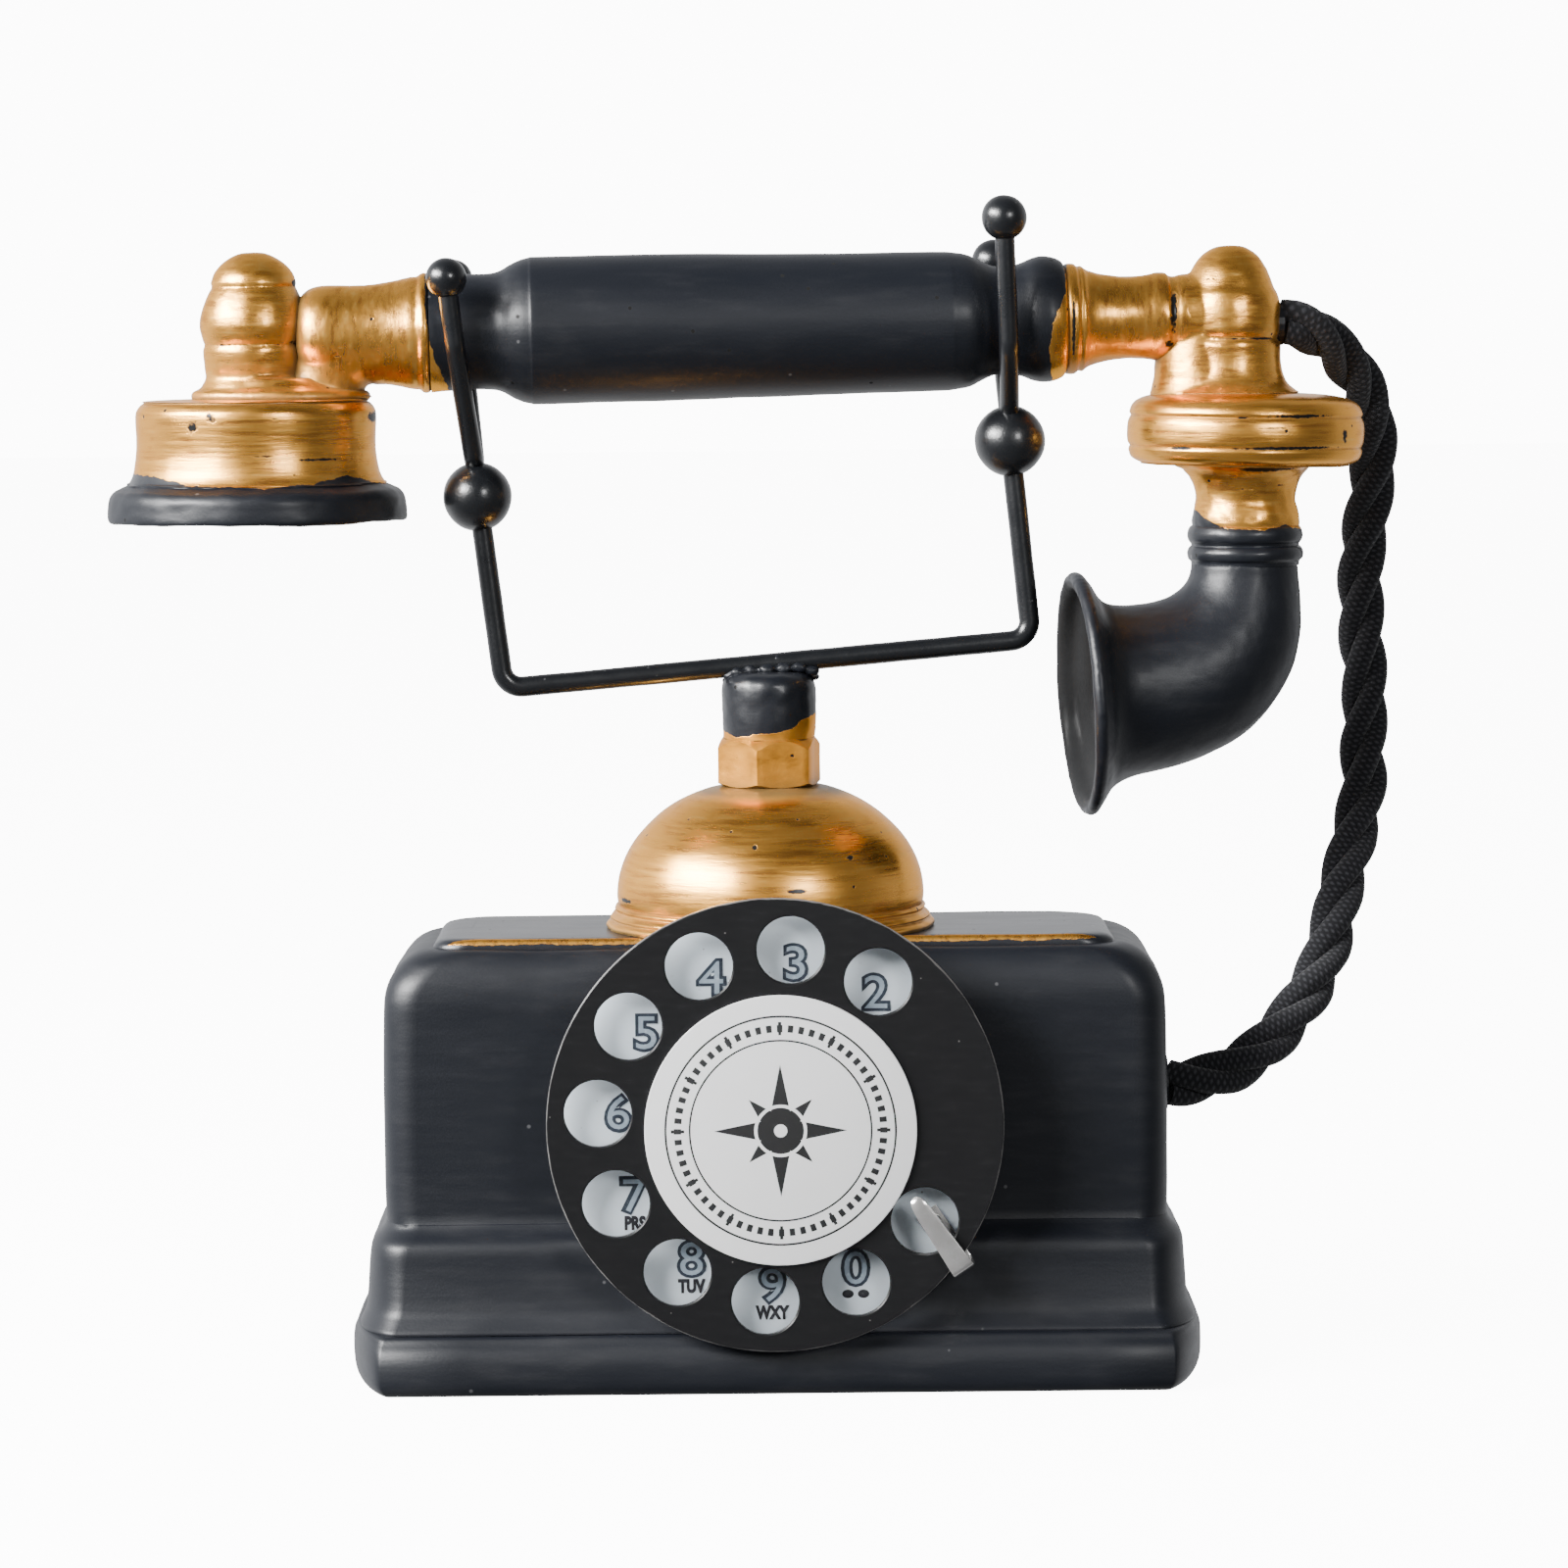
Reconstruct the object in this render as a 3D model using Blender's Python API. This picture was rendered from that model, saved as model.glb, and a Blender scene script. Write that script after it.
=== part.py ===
"""Cradle telephone with a gold bell dome, a wire cradle, a rotary dial and a horn handset.

Frame: metres, +Z up, origin at the middle of the underside, the dial faces -Y.
"""

import math

import bmesh
import bpy
from mathutils import Matrix, Vector

MM = 0.001
GAP = 0.3 * MM
TURN_STEPS = 16

# Base
PAD_HEIGHT = 1.2 * MM
COVER_TOP = 3.5 * MM
PLINTH_TOP = 10.0 * MM
PLINTH_HALF_X = 72.3 * MM
PLINTH_HALF_Y = 34.0 * MM
HOUSING_TOP = 73.4 * MM
HOUSING_HALF_X = 66.0 * MM
HOUSING_HALF_Y = 24.0 * MM
HOUSING_WALL = 3.5 * MM
BAND_HALF_X = 69.0 * MM
BAND_HALF_Y = 28.0 * MM
PLATE_HALF_X = 57.0 * MM
PLATE_HALF_Y = 18.0 * MM
PLATE_TOP = 74.9 * MM
SCREW_X = 56.0 * MM
SCREW_Y = 15.0 * MM
BOSS_RADIUS = 4.5 * MM

# Bell and stem
DOME_BASE = 79.0 * MM
DOME_TOP = 99.2 * MM
DOME_WALL = 1.6 * MM
NUT_X = -0.5 * MM
NUT_CORNERS = 18.6 * MM
NUT_BASE = 99.5 * MM
NUT_TOP = 107.4 * MM
NUT_TURN = math.radians(17)
CAP_RADIUS = 8.0 * MM
CAP_TOP = 118.6 * MM
STEM_HOLE = 2.8 * MM

# Cradle
CRADLE_WIRE = 1.75 * MM
BAR_LEFT = Vector((-45.6, 0, 116.2)) * MM
BAR_RIGHT = Vector((44.6, 0, 123.5)) * MM
BALL_LEFT = Vector((-49.6, 0, 148.9)) * MM
BALL_RIGHT = Vector((41.1, 0, 157.4)) * MM
BALL_LEFT_RADIUS = 5.85 * MM
BALL_RIGHT_RADIUS = 6.05 * MM
FORK_WIRE = 1.65 * MM
TIP_LEFT = Vector((-54.0, 13.6, 184.8)) * MM
TIP_RIGHT = Vector((39.2, 13.6, 193.6)) * MM
TIP_RIGHT_REAR_DROP = 7.0 * MM
FORK_REAR_SHIFT = 0.6 * MM
TIP_LEFT_RADIUS = 3.4 * MM
TIP_RIGHT_RADIUS = 3.8 * MM

# Dial
DIAL_CENTRE = Vector((0, 0, 45.9)) * MM
WHEEL_FRONT = -37.0 * MM
WHEEL_THICKNESS = 1.3 * MM
WHEEL_RADIUS = 37.8 * MM
HOLE_COUNT = 10
HOLE_RADIUS = 5.6 * MM
HOLE_CIRCLE = 29.35 * MM
HOLE_FIRST = math.radians(54.2)
HOLE_STEP = math.radians(30.3)
NUMBER_RADIUS = 36.2 * MM
NUMBER_FRONT = -32.3 * MM
NUMBER_THICKNESS = 1.0 * MM
LABEL_RADIUS = 22.5 * MM
LABEL_THICKNESS = 0.3 * MM
CUP_RADIUS = 17.0 * MM
BUSH_FLANGE = 10.5 * MM
BUSH_HOLE = 5.3 * MM
SPINDLE_RADIUS = 2.5 * MM
STOP_ANGLE = math.radians(-37.8)
STOP_ARM = math.radians(124)
STOP_WIDTH = 3.6 * MM
STOP_THICKNESS = 0.8 * MM

# Handset, in its own frame: +x along the grip towards the mouth, z as in the world
HANDSET_YAW = math.radians(2.5)
GRIP_TILT = math.radians(0.7)
GRIP_AXIS_Z = 177.4 * MM
EAR_X = -86.9 * MM
MOUTH_X = 78.7 * MM
DISC_X = 81.4 * MM
HORN_TURN = math.radians(3.5)
DISC_TILT = math.radians(1.2)

# Cord
CORD_RADIUS = 3.8 * MM
CORD_ROUTE = [
    (88.0, 3.9, 176.8),
    (90.0, 4.0, 176.8),
    (93.4, 6.1, 175.4),
    (97.7, 10.6, 172.2),
    (101.9, 15.6, 167.4),
    (104.5, 20.3, 161.3),
    (105.7, 24.2, 154.2),
    (105.2, 26.8, 145.8),
    (104.2, 28.6, 137.2),
    (104.0, 29.8, 128.5),
    (104.4, 30.4, 119.8),
    (104.9, 30.4, 111.1),
    (104.5, 29.8, 103.0),
    (104.4, 28.6, 95.6),
    (102.9, 26.6, 88.3),
    (101.1, 24.2, 82.2),
    (99.3, 21.4, 76.4),
    (97.8, 18.6, 70.7),
    (95.4, 15.4, 64.7),
    (92.6, 12.2, 60.2),
    (88.6, 9.4, 55.6),
    (84.8, 7.0, 52.0),
    (79.7, 5.0, 48.9),
    (75.4, 3.8, 47.4),
    (70.9, 3.0, 46.65),
    (67.9, 3.0, 46.6),
]
GROMMET_RADIUS = 4.6 * MM


def clear_scene():
    for obj in list(bpy.data.objects):
        bpy.data.objects.remove(obj, do_unlink=True)
    for data in (bpy.data.meshes, bpy.data.curves, bpy.data.materials):
        for block in list(data):
            data.remove(block)
    for collection in list(bpy.data.collections):
        bpy.data.collections.remove(collection)


def new_collection(name):
    collection = bpy.data.collections.new(name)
    bpy.context.scene.collection.children.link(collection)
    return collection


clear_scene()
PARTS = new_collection("french_style_cradle_phone")
CUTTERS = new_collection("cutters")


# Materials


def paint(name, color, metallic, roughness):
    material = bpy.data.materials.new(name)
    material.use_nodes = True
    shader = material.node_tree.nodes["Principled BSDF"]
    shader.inputs["Base Color"].default_value = (*color, 1)
    shader.inputs["Metallic"].default_value = metallic
    shader.inputs["Roughness"].default_value = roughness
    return material


def satin_black(name):
    return paint(name, (0.018, 0.019, 0.022), 0.0, 0.45)


def gloss_black(name):
    return paint(name, (0.008, 0.008, 0.009), 0.0, 0.18)


def gold(name):
    return paint(name, (0.72, 0.42, 0.12), 0.9, 0.32)


def steel(name):
    return paint(name, (0.62, 0.62, 0.60), 1.0, 0.3)


def brass(name):
    return paint(name, (0.70, 0.55, 0.25), 1.0, 0.3)


# Building blocks


def add_object(name, data, material):
    obj = bpy.data.objects.new(name, data)
    PARTS.objects.link(obj)
    if material is not None:
        data.materials.append(material)
    return obj


def mesh_object(name, mesh_data, material, smooth=True):
    if smooth:
        for polygon in mesh_data.polygons:
            polygon.use_smooth = True
    return add_object(name, mesh_data, material)


def finish_mesh(name, bm):
    mesh = bpy.data.meshes.new(name)
    bm.to_mesh(mesh)
    bm.free()
    return mesh


def lathe_mesh(name, profile, steps=TURN_STEPS):
    """A turned body from (radius, height) points in millimetres, top to bottom on its outer side.

    A profile that starts and ends on the axis is a solid; any other one closes on itself.
    """
    bm = bmesh.new()
    solid = profile[0][0] == 0 and profile[-1][0] == 0
    rings = []
    for radius, height in profile:
        if radius == 0:
            rings.append([bm.verts.new((0, 0, height * MM))])
        else:
            angles = [2 * math.pi * i / steps for i in range(steps)]
            ring = [(radius * math.cos(a), radius * math.sin(a), height) for a in angles]
            rings.append([bm.verts.new(Vector(p) * MM) for p in ring])
    if not solid:
        rings.append(rings[0])
    for upper, lower in zip(rings, rings[1:]):
        for i in range(steps):
            j = (i + 1) % steps
            if len(upper) == 1:
                bm.faces.new((upper[0], lower[i], lower[j]))
            elif len(lower) == 1:
                bm.faces.new((upper[i], lower[0], upper[j]))
            else:
                bm.faces.new((upper[i], lower[i], lower[j], upper[j]))
    return finish_mesh(name, bm)


def loft_mesh(name, rings):
    """A closed body through rings of equally many points, capped at both ends."""
    bm = bmesh.new()
    made = [[bm.verts.new(point) for point in ring] for ring in rings]
    count = len(rings[0])
    for lower, upper in zip(made, made[1:]):
        for i in range(count):
            j = (i + 1) % count
            bm.faces.new((lower[i], lower[j], upper[j], upper[i]))
    bm.faces.new(list(reversed(made[0])))
    bm.faces.new(made[-1])
    bmesh.ops.recalc_face_normals(bm, faces=bm.faces)
    return finish_mesh(name, bm)


def turned(name, profile, material, axis="z", at=(0, 0, 0), steps=TURN_STEPS):
    obj = mesh_object(name, lathe_mesh(name, profile, steps), material)
    obj.matrix_world = placed(axis, at)
    return obj


def placed(axis, at):
    """z as it is, x with the turning axis along +x, y with it along -y (towards the viewer)."""
    turn = {
        "z": Matrix.Identity(4),
        "x": Matrix.Rotation(math.pi / 2, 4, "Y"),
        "y": Matrix.Rotation(math.pi / 2, 4, "X"),
    }[axis]
    return Matrix.Translation(at) @ turn


def plan_ring(half_x, half_y, corner_x, corner_y, z, bulge=2.0, segments=4):
    """A rectangle seen from above with rounded (bulge 2) or nearly straight (bulge 1) corners."""
    points = []
    for sx, sy, start in ((1, 1, 0), (-1, 1, 1), (-1, -1, 2), (1, -1, 3)):
        for i in range(segments + 1):
            a = math.pi / 2 * i / segments
            u = math.cos(a) ** (2 / bulge) if math.cos(a) > 1e-9 else 0.0
            v = math.sin(a) ** (2 / bulge) if math.sin(a) > 1e-9 else 0.0
            if start % 2:
                u, v = v, u
            x = sx * (half_x - corner_x + corner_x * u)
            y = sy * (half_y - corner_y + corner_y * v)
            points.append(Vector((x, y, z)))
    return points


def box_cutter(low, high):
    low, high = Vector(low), Vector(high)
    bm = bmesh.new()
    bmesh.ops.create_cube(bm, size=1)
    mesh = finish_mesh("cutter", bm)
    size = high - low
    mesh.transform(Matrix.Translation((low + high) / 2) @ Matrix.Diagonal((*size, 1)))
    return cutter_object(mesh)


def rod_cutter(radius, start, end, steps=20, hexagon=False):
    start, end = Vector(start), Vector(end)
    bm = bmesh.new()
    bmesh.ops.create_cone(
        bm,
        cap_ends=True,
        segments=6 if hexagon else steps,
        radius1=radius,
        radius2=radius,
        depth=(end - start).length,
    )
    mesh = finish_mesh("cutter", bm)
    turn = (end - start).to_track_quat("Z", "Y").to_matrix().to_4x4()
    mesh.transform(Matrix.Translation((start + end) / 2) @ turn)
    return cutter_object(mesh)


def cutter_object(mesh):
    obj = bpy.data.objects.new("cutter", mesh)
    CUTTERS.objects.link(obj)
    obj.hide_render = True
    obj.display_type = "WIRE"
    return obj


def combine(obj, others, operation="DIFFERENCE"):
    for other in others:
        modifier = obj.modifiers.new("cut", "BOOLEAN")
        modifier.object = other
        modifier.operation = operation
        modifier.solver = "EXACT"
    return obj


def smooth_points(points, per_span=4):
    """Points along a Catmull-Rom curve through the given ones."""
    points = [Vector(p) for p in points]
    ends = [2 * points[0] - points[1], *points, 2 * points[-1] - points[-2]]
    out = []
    for p0, p1, p2, p3 in zip(ends, ends[1:], ends[2:], ends[3:]):
        for k in range(per_span):
            t = k / per_span
            a = 2 * p1 + (p2 - p0) * t
            b = (2 * p0 - 5 * p1 + 4 * p2 - p3) * t * t
            c = (3 * p1 - p0 - 3 * p2 + p3) * t * t * t
            out.append((a + b + c) / 2)
    return [*out, points[-1]]


def rounded_path(points, radius, segments=5):
    """A polyline whose inner corners are replaced by arcs."""
    points = [Vector(p) for p in points]
    out = [points[0]]
    for before, corner, after in zip(points, points[1:], points[2:]):
        u, v = (before - corner).normalized(), (after - corner).normalized()
        half = math.acos(max(-1, min(1, u.dot(v)))) / 2
        reach = radius / math.tan(half)
        centre = corner + (u + v).normalized() * radius / math.sin(half)
        first, last = corner + u * reach - centre, corner + v * reach - centre
        reach = first.length
        first, last = first.normalized(), last.normalized()
        for i in range(segments + 1):
            out.append(centre + first.slerp(last, i / segments) * reach)
    return [*out, points[-1]]


def wire(name, points, radius, material, resolution=2):
    curve = bpy.data.curves.new(name, "CURVE")
    curve.dimensions = "3D"
    spline = curve.splines.new("POLY")
    spline.points.add(len(points) - 1)
    for target, point in zip(spline.points, points):
        target.co = (*point, 1)
    curve.bevel_depth = radius
    curve.bevel_resolution = resolution
    curve.use_fill_caps = True
    return add_object(name, curve, material)


def wire_cutter(points, radius):
    """The space that a wire takes up, as a cutter."""
    count = 12
    rings = []
    for i, point in enumerate(points):
        ahead = points[min(i + 1, len(points) - 1)] - points[max(i - 1, 0)]
        side = ahead.cross(Vector((1, 0, 0))).normalized()
        up = ahead.cross(side).normalized()
        ring = []
        for k in range(count):
            a = 2 * math.pi * k / count
            ring.append(point + radius * (math.cos(a) * side + math.sin(a) * up))
        rings.append(ring)
    return cutter_object(loft_mesh("cutter", rings))


def ball(name, centre, radius, material, cutters):
    bm = bmesh.new()
    bmesh.ops.create_uvsphere(bm, u_segments=12, v_segments=8, radius=radius)
    obj = mesh_object(name, finish_mesh(name, bm), material)
    obj.location = centre
    return combine(obj, cutters)


def hexagon_mesh(name, corners, low, high, bevel):
    """A hexagon bar with turned-down ends, standing on +Z."""
    radius = corners / 2
    rings = []
    for z, r in ((low, radius - bevel), (low + bevel * 0.6, radius), (high - bevel * 0.6, radius)):
        rings.append(hexagon_ring(r, z))
    rings.append(hexagon_ring(radius - bevel, high))
    return loft_mesh(name, rings)


def hexagon_ring(radius, z):
    angles = [math.pi / 3 * i - math.pi / 2 for i in range(6)]
    return [Vector((radius * math.cos(a), radius * math.sin(a), z)) for a in angles]


def screw(name, at, head_radius, head, shank_radius, shank):
    """A countersunk screw standing on its head, which faces -Z."""
    profile = [
        (0, shank),
        (shank_radius, shank),
        (shank_radius, head),
        (head_radius, 0.25),
        (head_radius, 0),
        (0, 0),
    ]
    return turned(name, profile, steel(name), at=at, steps=10)


# Base


def build_plinth():
    h = PLINTH_TOP
    rings = [
        plan_ring(PLINTH_HALF_X - 0.8 * MM, PLINTH_HALF_Y - 0.5 * MM, 6 * MM, 24 * MM, GAP, 1.5),
        plan_ring(PLINTH_HALF_X, PLINTH_HALF_Y, 6.4 * MM, 26 * MM, 2.0 * MM, 1.5),
        plan_ring(PLINTH_HALF_X, PLINTH_HALF_Y - 0.3 * MM, 6.4 * MM, 26 * MM, h - 4.0 * MM, 1.5),
        plan_ring(PLINTH_HALF_X - 1.2 * MM, PLINTH_HALF_Y - 1.6 * MM, 6 * MM, 24 * MM, h - 1.4 * MM, 1.6),
        plan_ring(PLINTH_HALF_X - 2.8 * MM, PLINTH_HALF_Y - 4.2 * MM, 6 * MM, 20 * MM, h, 1.7),
    ]
    obj = mesh_object("plinth", loft_mesh("plinth", rings), satin_black("plinth"), smooth=False)
    pocket = COVER_TOP + GAP
    cutters = [
        box_cutter((-64.3 * MM, -26.3 * MM, -1 * MM), (64.3 * MM, 26.3 * MM, pocket)),
        box_cutter((-50 * MM, -20 * MM, 0), (50 * MM, 20 * MM, 20 * MM)),
    ]
    for sx, sy in corners():
        cutters.append(rod_cutter(2.0 * MM, (sx, sy, 0), (sx, sy, 20 * MM), 10))
    return combine(obj, cutters)


def corners():
    return [(sx * SCREW_X, sy * SCREW_Y) for sx in (-1, 1) for sy in (-1, 1)]


def housing_rings():
    """Outer rings of the housing, bottom to top: lower band, soft step, body, rounded shoulder."""
    x, y = HOUSING_HALF_X, HOUSING_HALF_Y
    bx, by = BAND_HALF_X, BAND_HALF_Y
    steps = [
        (PLINTH_TOP + GAP, bx + 0.2 * MM, by + 1.2 * MM, 7, 14, 1.8),
        (14 * MM, bx + 0.2 * MM, by + 0.6 * MM, 7, 13, 1.8),
        (20 * MM, bx, by, 7, 12, 1.9),
        (23.8 * MM, bx - 0.5 * MM, by - 0.4 * MM, 7, 11, 2.0),
        (26.2 * MM, bx - 1.7 * MM, by - 2.0 * MM, 7, 9, 2.0),
        (28.6 * MM, x, y + 0.1 * MM, 6, 7, 2.0),
        (45 * MM, x, y, 6, 6, 2.0),
        (64.0 * MM, x - 0.3 * MM, y - 0.1 * MM, 6, 6, 2.0),
    ]
    rings = []
    for z, half_x, half_y, corner_x, corner_y, bulge in steps:
        rings.append(plan_ring(half_x, half_y, corner_x * MM, corner_y * MM, z, bulge))
    drop = HOUSING_TOP - 64.0 * MM
    for i in range(1, 5):
        a = math.pi / 2 * i / 4
        in_x = 8.4 * MM * (1 - math.cos(a)) + 0.3 * MM
        in_y = 4.4 * MM * (1 - math.cos(a)) + 0.1 * MM
        z = 64.0 * MM + drop * math.sin(a)
        corner = 6 * MM + 1.5 * MM * math.sin(a)
        rings.append(plan_ring(x - in_x, y - in_y, corner, corner, z))
    return rings


def build_housing():
    x, y, wall = HOUSING_HALF_X, HOUSING_HALF_Y, HOUSING_WALL
    inner = [
        plan_ring(x - wall - 6 * MM, y - wall - 3 * MM, 5 * MM, 5 * MM, HOUSING_TOP - wall),
        plan_ring(x - wall - 1 * MM, y - wall, 4 * MM, 4 * MM, HOUSING_TOP - wall - 5 * MM),
        plan_ring(x - wall, y - wall, 4 * MM, 4 * MM, 30 * MM),
        plan_ring(x - wall, y - wall, 4 * MM, 4 * MM, PLINTH_TOP + GAP),
    ]
    mesh = loft_mesh("housing", inner + housing_rings())
    obj = mesh_object("housing", mesh, satin_black("housing"), smooth=False)
    posts = [
        rod_cutter(BOSS_RADIUS, (sx, sy, PLINTH_TOP + GAP), (sx, sy, 66 * MM), 12)
        for sx, sy in corners()
    ]
    combine(obj, posts, "UNION")
    holes = [
        rod_cutter(2.0 * MM, (sx, sy, 0), (sx, sy, 23 * MM), 10) for sx, sy in corners()
    ]
    centre = DIAL_CENTRE
    holes.append(rod_cutter(STEM_HOLE, (NUT_X, 0, 60 * MM), (NUT_X, 0, 80 * MM)))
    holes.append(rod_cutter(BUSH_HOLE, (0, -40 * MM, centre.z), (0, -15 * MM, centre.z)))
    cy, cz = CORD_ROUTE[-1][1] * MM, CORD_ROUTE[-1][2] * MM
    holes.append(rod_cutter(GROMMET_RADIUS - 0.9 * MM, (55 * MM, cy, cz), (80 * MM, cy, cz)))
    return combine(obj, holes)


def build_top_plate():
    rings = [
        plan_ring(PLATE_HALF_X, PLATE_HALF_Y, 5 * MM, 5 * MM, HOUSING_TOP + GAP),
        plan_ring(PLATE_HALF_X, PLATE_HALF_Y, 5 * MM, 5 * MM, PLATE_TOP - 0.4 * MM),
        plan_ring(PLATE_HALF_X - 0.5 * MM, PLATE_HALF_Y - 0.5 * MM, 5 * MM, 5 * MM, PLATE_TOP),
    ]
    obj = mesh_object("top_plate", loft_mesh("top_plate", rings), satin_black("top_plate"), False)
    return combine(obj, [rod_cutter(STEM_HOLE, (NUT_X, 0, 60 * MM), (NUT_X, 0, 90 * MM))])


def build_underside():
    rings = [plan_ring(64 * MM, 26 * MM, 3 * MM, 3 * MM, z) for z in (PAD_HEIGHT + GAP, COVER_TOP)]
    material = paint("base_cover", (0.05, 0.05, 0.055), 0.6, 0.5)
    cover = mesh_object("base_cover", loft_mesh("base_cover", rings), material, False)
    sinks = []
    for sx, sy in corners():
        sinks.append(rod_cutter(2.0 * MM, (sx, sy, 0), (sx, sy, 20 * MM), 10))
        sinks.append(rod_cutter(3.4 * MM, (sx, sy, 0), (sx, sy, COVER_TOP - 0.5 * MM), 10))
    combine(cover, sinks)
    rings = [plan_ring(63 * MM, 25 * MM, 4 * MM, 4 * MM, z) for z in (0, PAD_HEIGHT)]
    felt = paint("base_pad", (0.03, 0.03, 0.03), 0.0, 0.95)
    mesh_object("base_pad", loft_mesh("base_pad", rings), felt, False)
    for number, (sx, sy) in enumerate(corners(), 1):
        at = (sx, sy, PAD_HEIGHT + GAP + 0.1 * MM)
        screw(f"cover_screw_{number}", at, 3.0, 1.2, 1.5, 18.0)


# Bell and stem


def build_bell():
    steps = [
        (STEM_HOLE / MM, DOME_BASE / MM - GAP / MM),
        (25.6, DOME_BASE / MM - GAP / MM),
        (26.4, 78.2),
        (26.4, 77.6),
        (27.0, 77.2),
        (27.0, 76.6),
        (27.6, 76.2),
        (27.6, PLATE_TOP / MM + GAP / MM),
        (STEM_HOLE / MM, PLATE_TOP / MM + GAP / MM),
    ]
    turned("bell_base", steps, gold("bell_base"), at=(NUT_X, 0, 0), steps=24)
    top, base, wall = DOME_TOP / MM, DOME_BASE / MM, DOME_WALL / MM
    outer = [(6.0, top), (10.0, top - 0.5), (14.3, top - 2.1), (17.6, top - 4.0), (20.3, top - 6.1)]
    outer += [(23.0, top - 9.1), (24.8, top - 12.3), (25.8, top - 15.3), (26.2, base + 2), (26.2, base)]
    inner = [(r - wall, z - wall * 0.45) for r, z in outer[1:-2]]
    profile = [(STEM_HOLE / MM, top), *outer, (26.2 - wall, base), *reversed(inner)]
    profile.append((STEM_HOLE / MM, top - wall))
    turned("bell_dome", profile, gold("bell_dome"), at=(NUT_X, 0, 0), steps=24)


def build_stem():
    mesh = hexagon_mesh("hex_nut", NUT_CORNERS, NUT_BASE, NUT_TOP, 1.0 * MM)
    mesh.transform(Matrix.Translation((NUT_X, 0, 0)) @ Matrix.Rotation(NUT_TURN, 4, "Z"))
    nut = mesh_object("hex_nut", mesh, gold("hex_nut"), smooth=False)
    bore = rod_cutter(STEM_HOLE, (NUT_X, 0, 60 * MM), (NUT_X, 0, 114 * MM))
    combine(nut, [bore])
    radius, top, low = CAP_RADIUS / MM, CAP_TOP / MM, NUT_TOP / MM + 0.3
    profile = [(0, top), (radius - 2.2, top), (radius - 0.7, top - 0.7), (radius, top - 2.2)]
    profile += [(radius, low + 0.4), (radius - 0.4, low), (0, low)]
    cap = turned("stem_cap", profile, satin_black("stem_cap"), at=(NUT_X, 0, 0))
    slot = rod_cutter(CRADLE_WIRE + GAP, yawed(BAR_LEFT), yawed(BAR_RIGHT), 16)
    combine(cap, [bore, slot])
    profile = [(0, 113.4), (2.1, 113.4), (2.5, 113.0), (2.5, 62.4), (2.1, 62.0), (0, 62.0)]
    turned("stem_rod", profile, steel("stem_rod"), at=(NUT_X, 0, 0), steps=16)
    high = HOUSING_TOP - HOUSING_WALL - GAP
    mesh = hexagon_mesh("stem_nut", 10 * MM, high - 4.0 * MM, high, 0.6 * MM)
    mesh.transform(Matrix.Translation((NUT_X, 0, 0)))
    nut = mesh_object("stem_nut", mesh, steel("stem_nut"), smooth=False)
    combine(nut, [rod_cutter(STEM_HOLE, (NUT_X, 0, 60 * MM), (NUT_X, 0, 90 * MM))])


# Cradle


def yawed(point):
    """A point of the cradle or the handset, turned from their shared frame into the world."""
    return Matrix.Rotation(HANDSET_YAW, 3, "Z") @ point


def post_top(ball_centre, foot, radius):
    """Where a post ends: a little below the middle of its ball."""
    along = (ball_centre - foot).normalized()
    return ball_centre - along * radius * 0.3


def build_cradle_rod():
    left = post_top(BALL_LEFT, BAR_LEFT, BALL_LEFT_RADIUS)
    right = post_top(BALL_RIGHT, BAR_RIGHT, BALL_RIGHT_RADIUS)
    path = rounded_path([left, BAR_LEFT, BAR_RIGHT, right], 3.4 * MM)
    wire("cradle_rod", [yawed(p) for p in path], CRADLE_WIRE, gloss_black("cradle_rod"), 3)


def fork_path(ball_centre, ball_radius, tip, rear_drop, spread, knee_z):
    """One wire: front tip, front knee, notch in the ball, rear knee, rear tip."""
    low = ball_centre + Vector((0, 0, ball_radius - 1.0 * MM))
    lean = (tip.x - ball_centre.x) / (tip.z - ball_centre.z)
    knee_x = low.x + lean * (knee_z - low.z)
    path = [
        Vector((tip.x, -tip.y, tip.z)),
        Vector((knee_x - 0.4 * MM, -spread, knee_z)),
        low,
        Vector((knee_x + 0.4 * MM, spread, knee_z)),
        Vector((tip.x + FORK_REAR_SHIFT, tip.y, tip.z - rear_drop)),
    ]
    return [yawed(p) for p in rounded_path(path, 3.2 * MM, 4)]


def build_fork(side, ball_centre, ball_radius, tip, rear_drop, spread, knee_z, tip_radius):
    path = fork_path(ball_centre, ball_radius, tip, rear_drop, spread, knee_z)
    wire(f"fork_{side}", path, FORK_WIRE, gloss_black(f"fork_{side}"))
    foot = yawed(BAR_LEFT if side == "left" else BAR_RIGHT)
    centre = yawed(ball_centre)
    end = post_top(centre, foot, ball_radius)
    along = (end - foot).normalized()
    bore = rod_cutter(CRADLE_WIRE + GAP, end - along * 12 * MM, end + along * GAP)
    notch = wire_cutter(path[5:-5], FORK_WIRE + GAP)
    name = f"cradle_ball_{side}"
    ball(name, centre, ball_radius, gloss_black(name), [bore, notch])
    for where, end, inner in (("front", path[0], path[1]), ("rear", path[-1], path[-2])):
        out = (end - inner).normalized()
        hole = rod_cutter(FORK_WIRE + GAP, end - out * 8 * MM, end + out * GAP)
        name = f"fork_tip_{side}_{where}"
        ball(name, end + out * (tip_radius - 2.4 * MM), tip_radius, gloss_black(name), [hole])


# Dial


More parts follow.
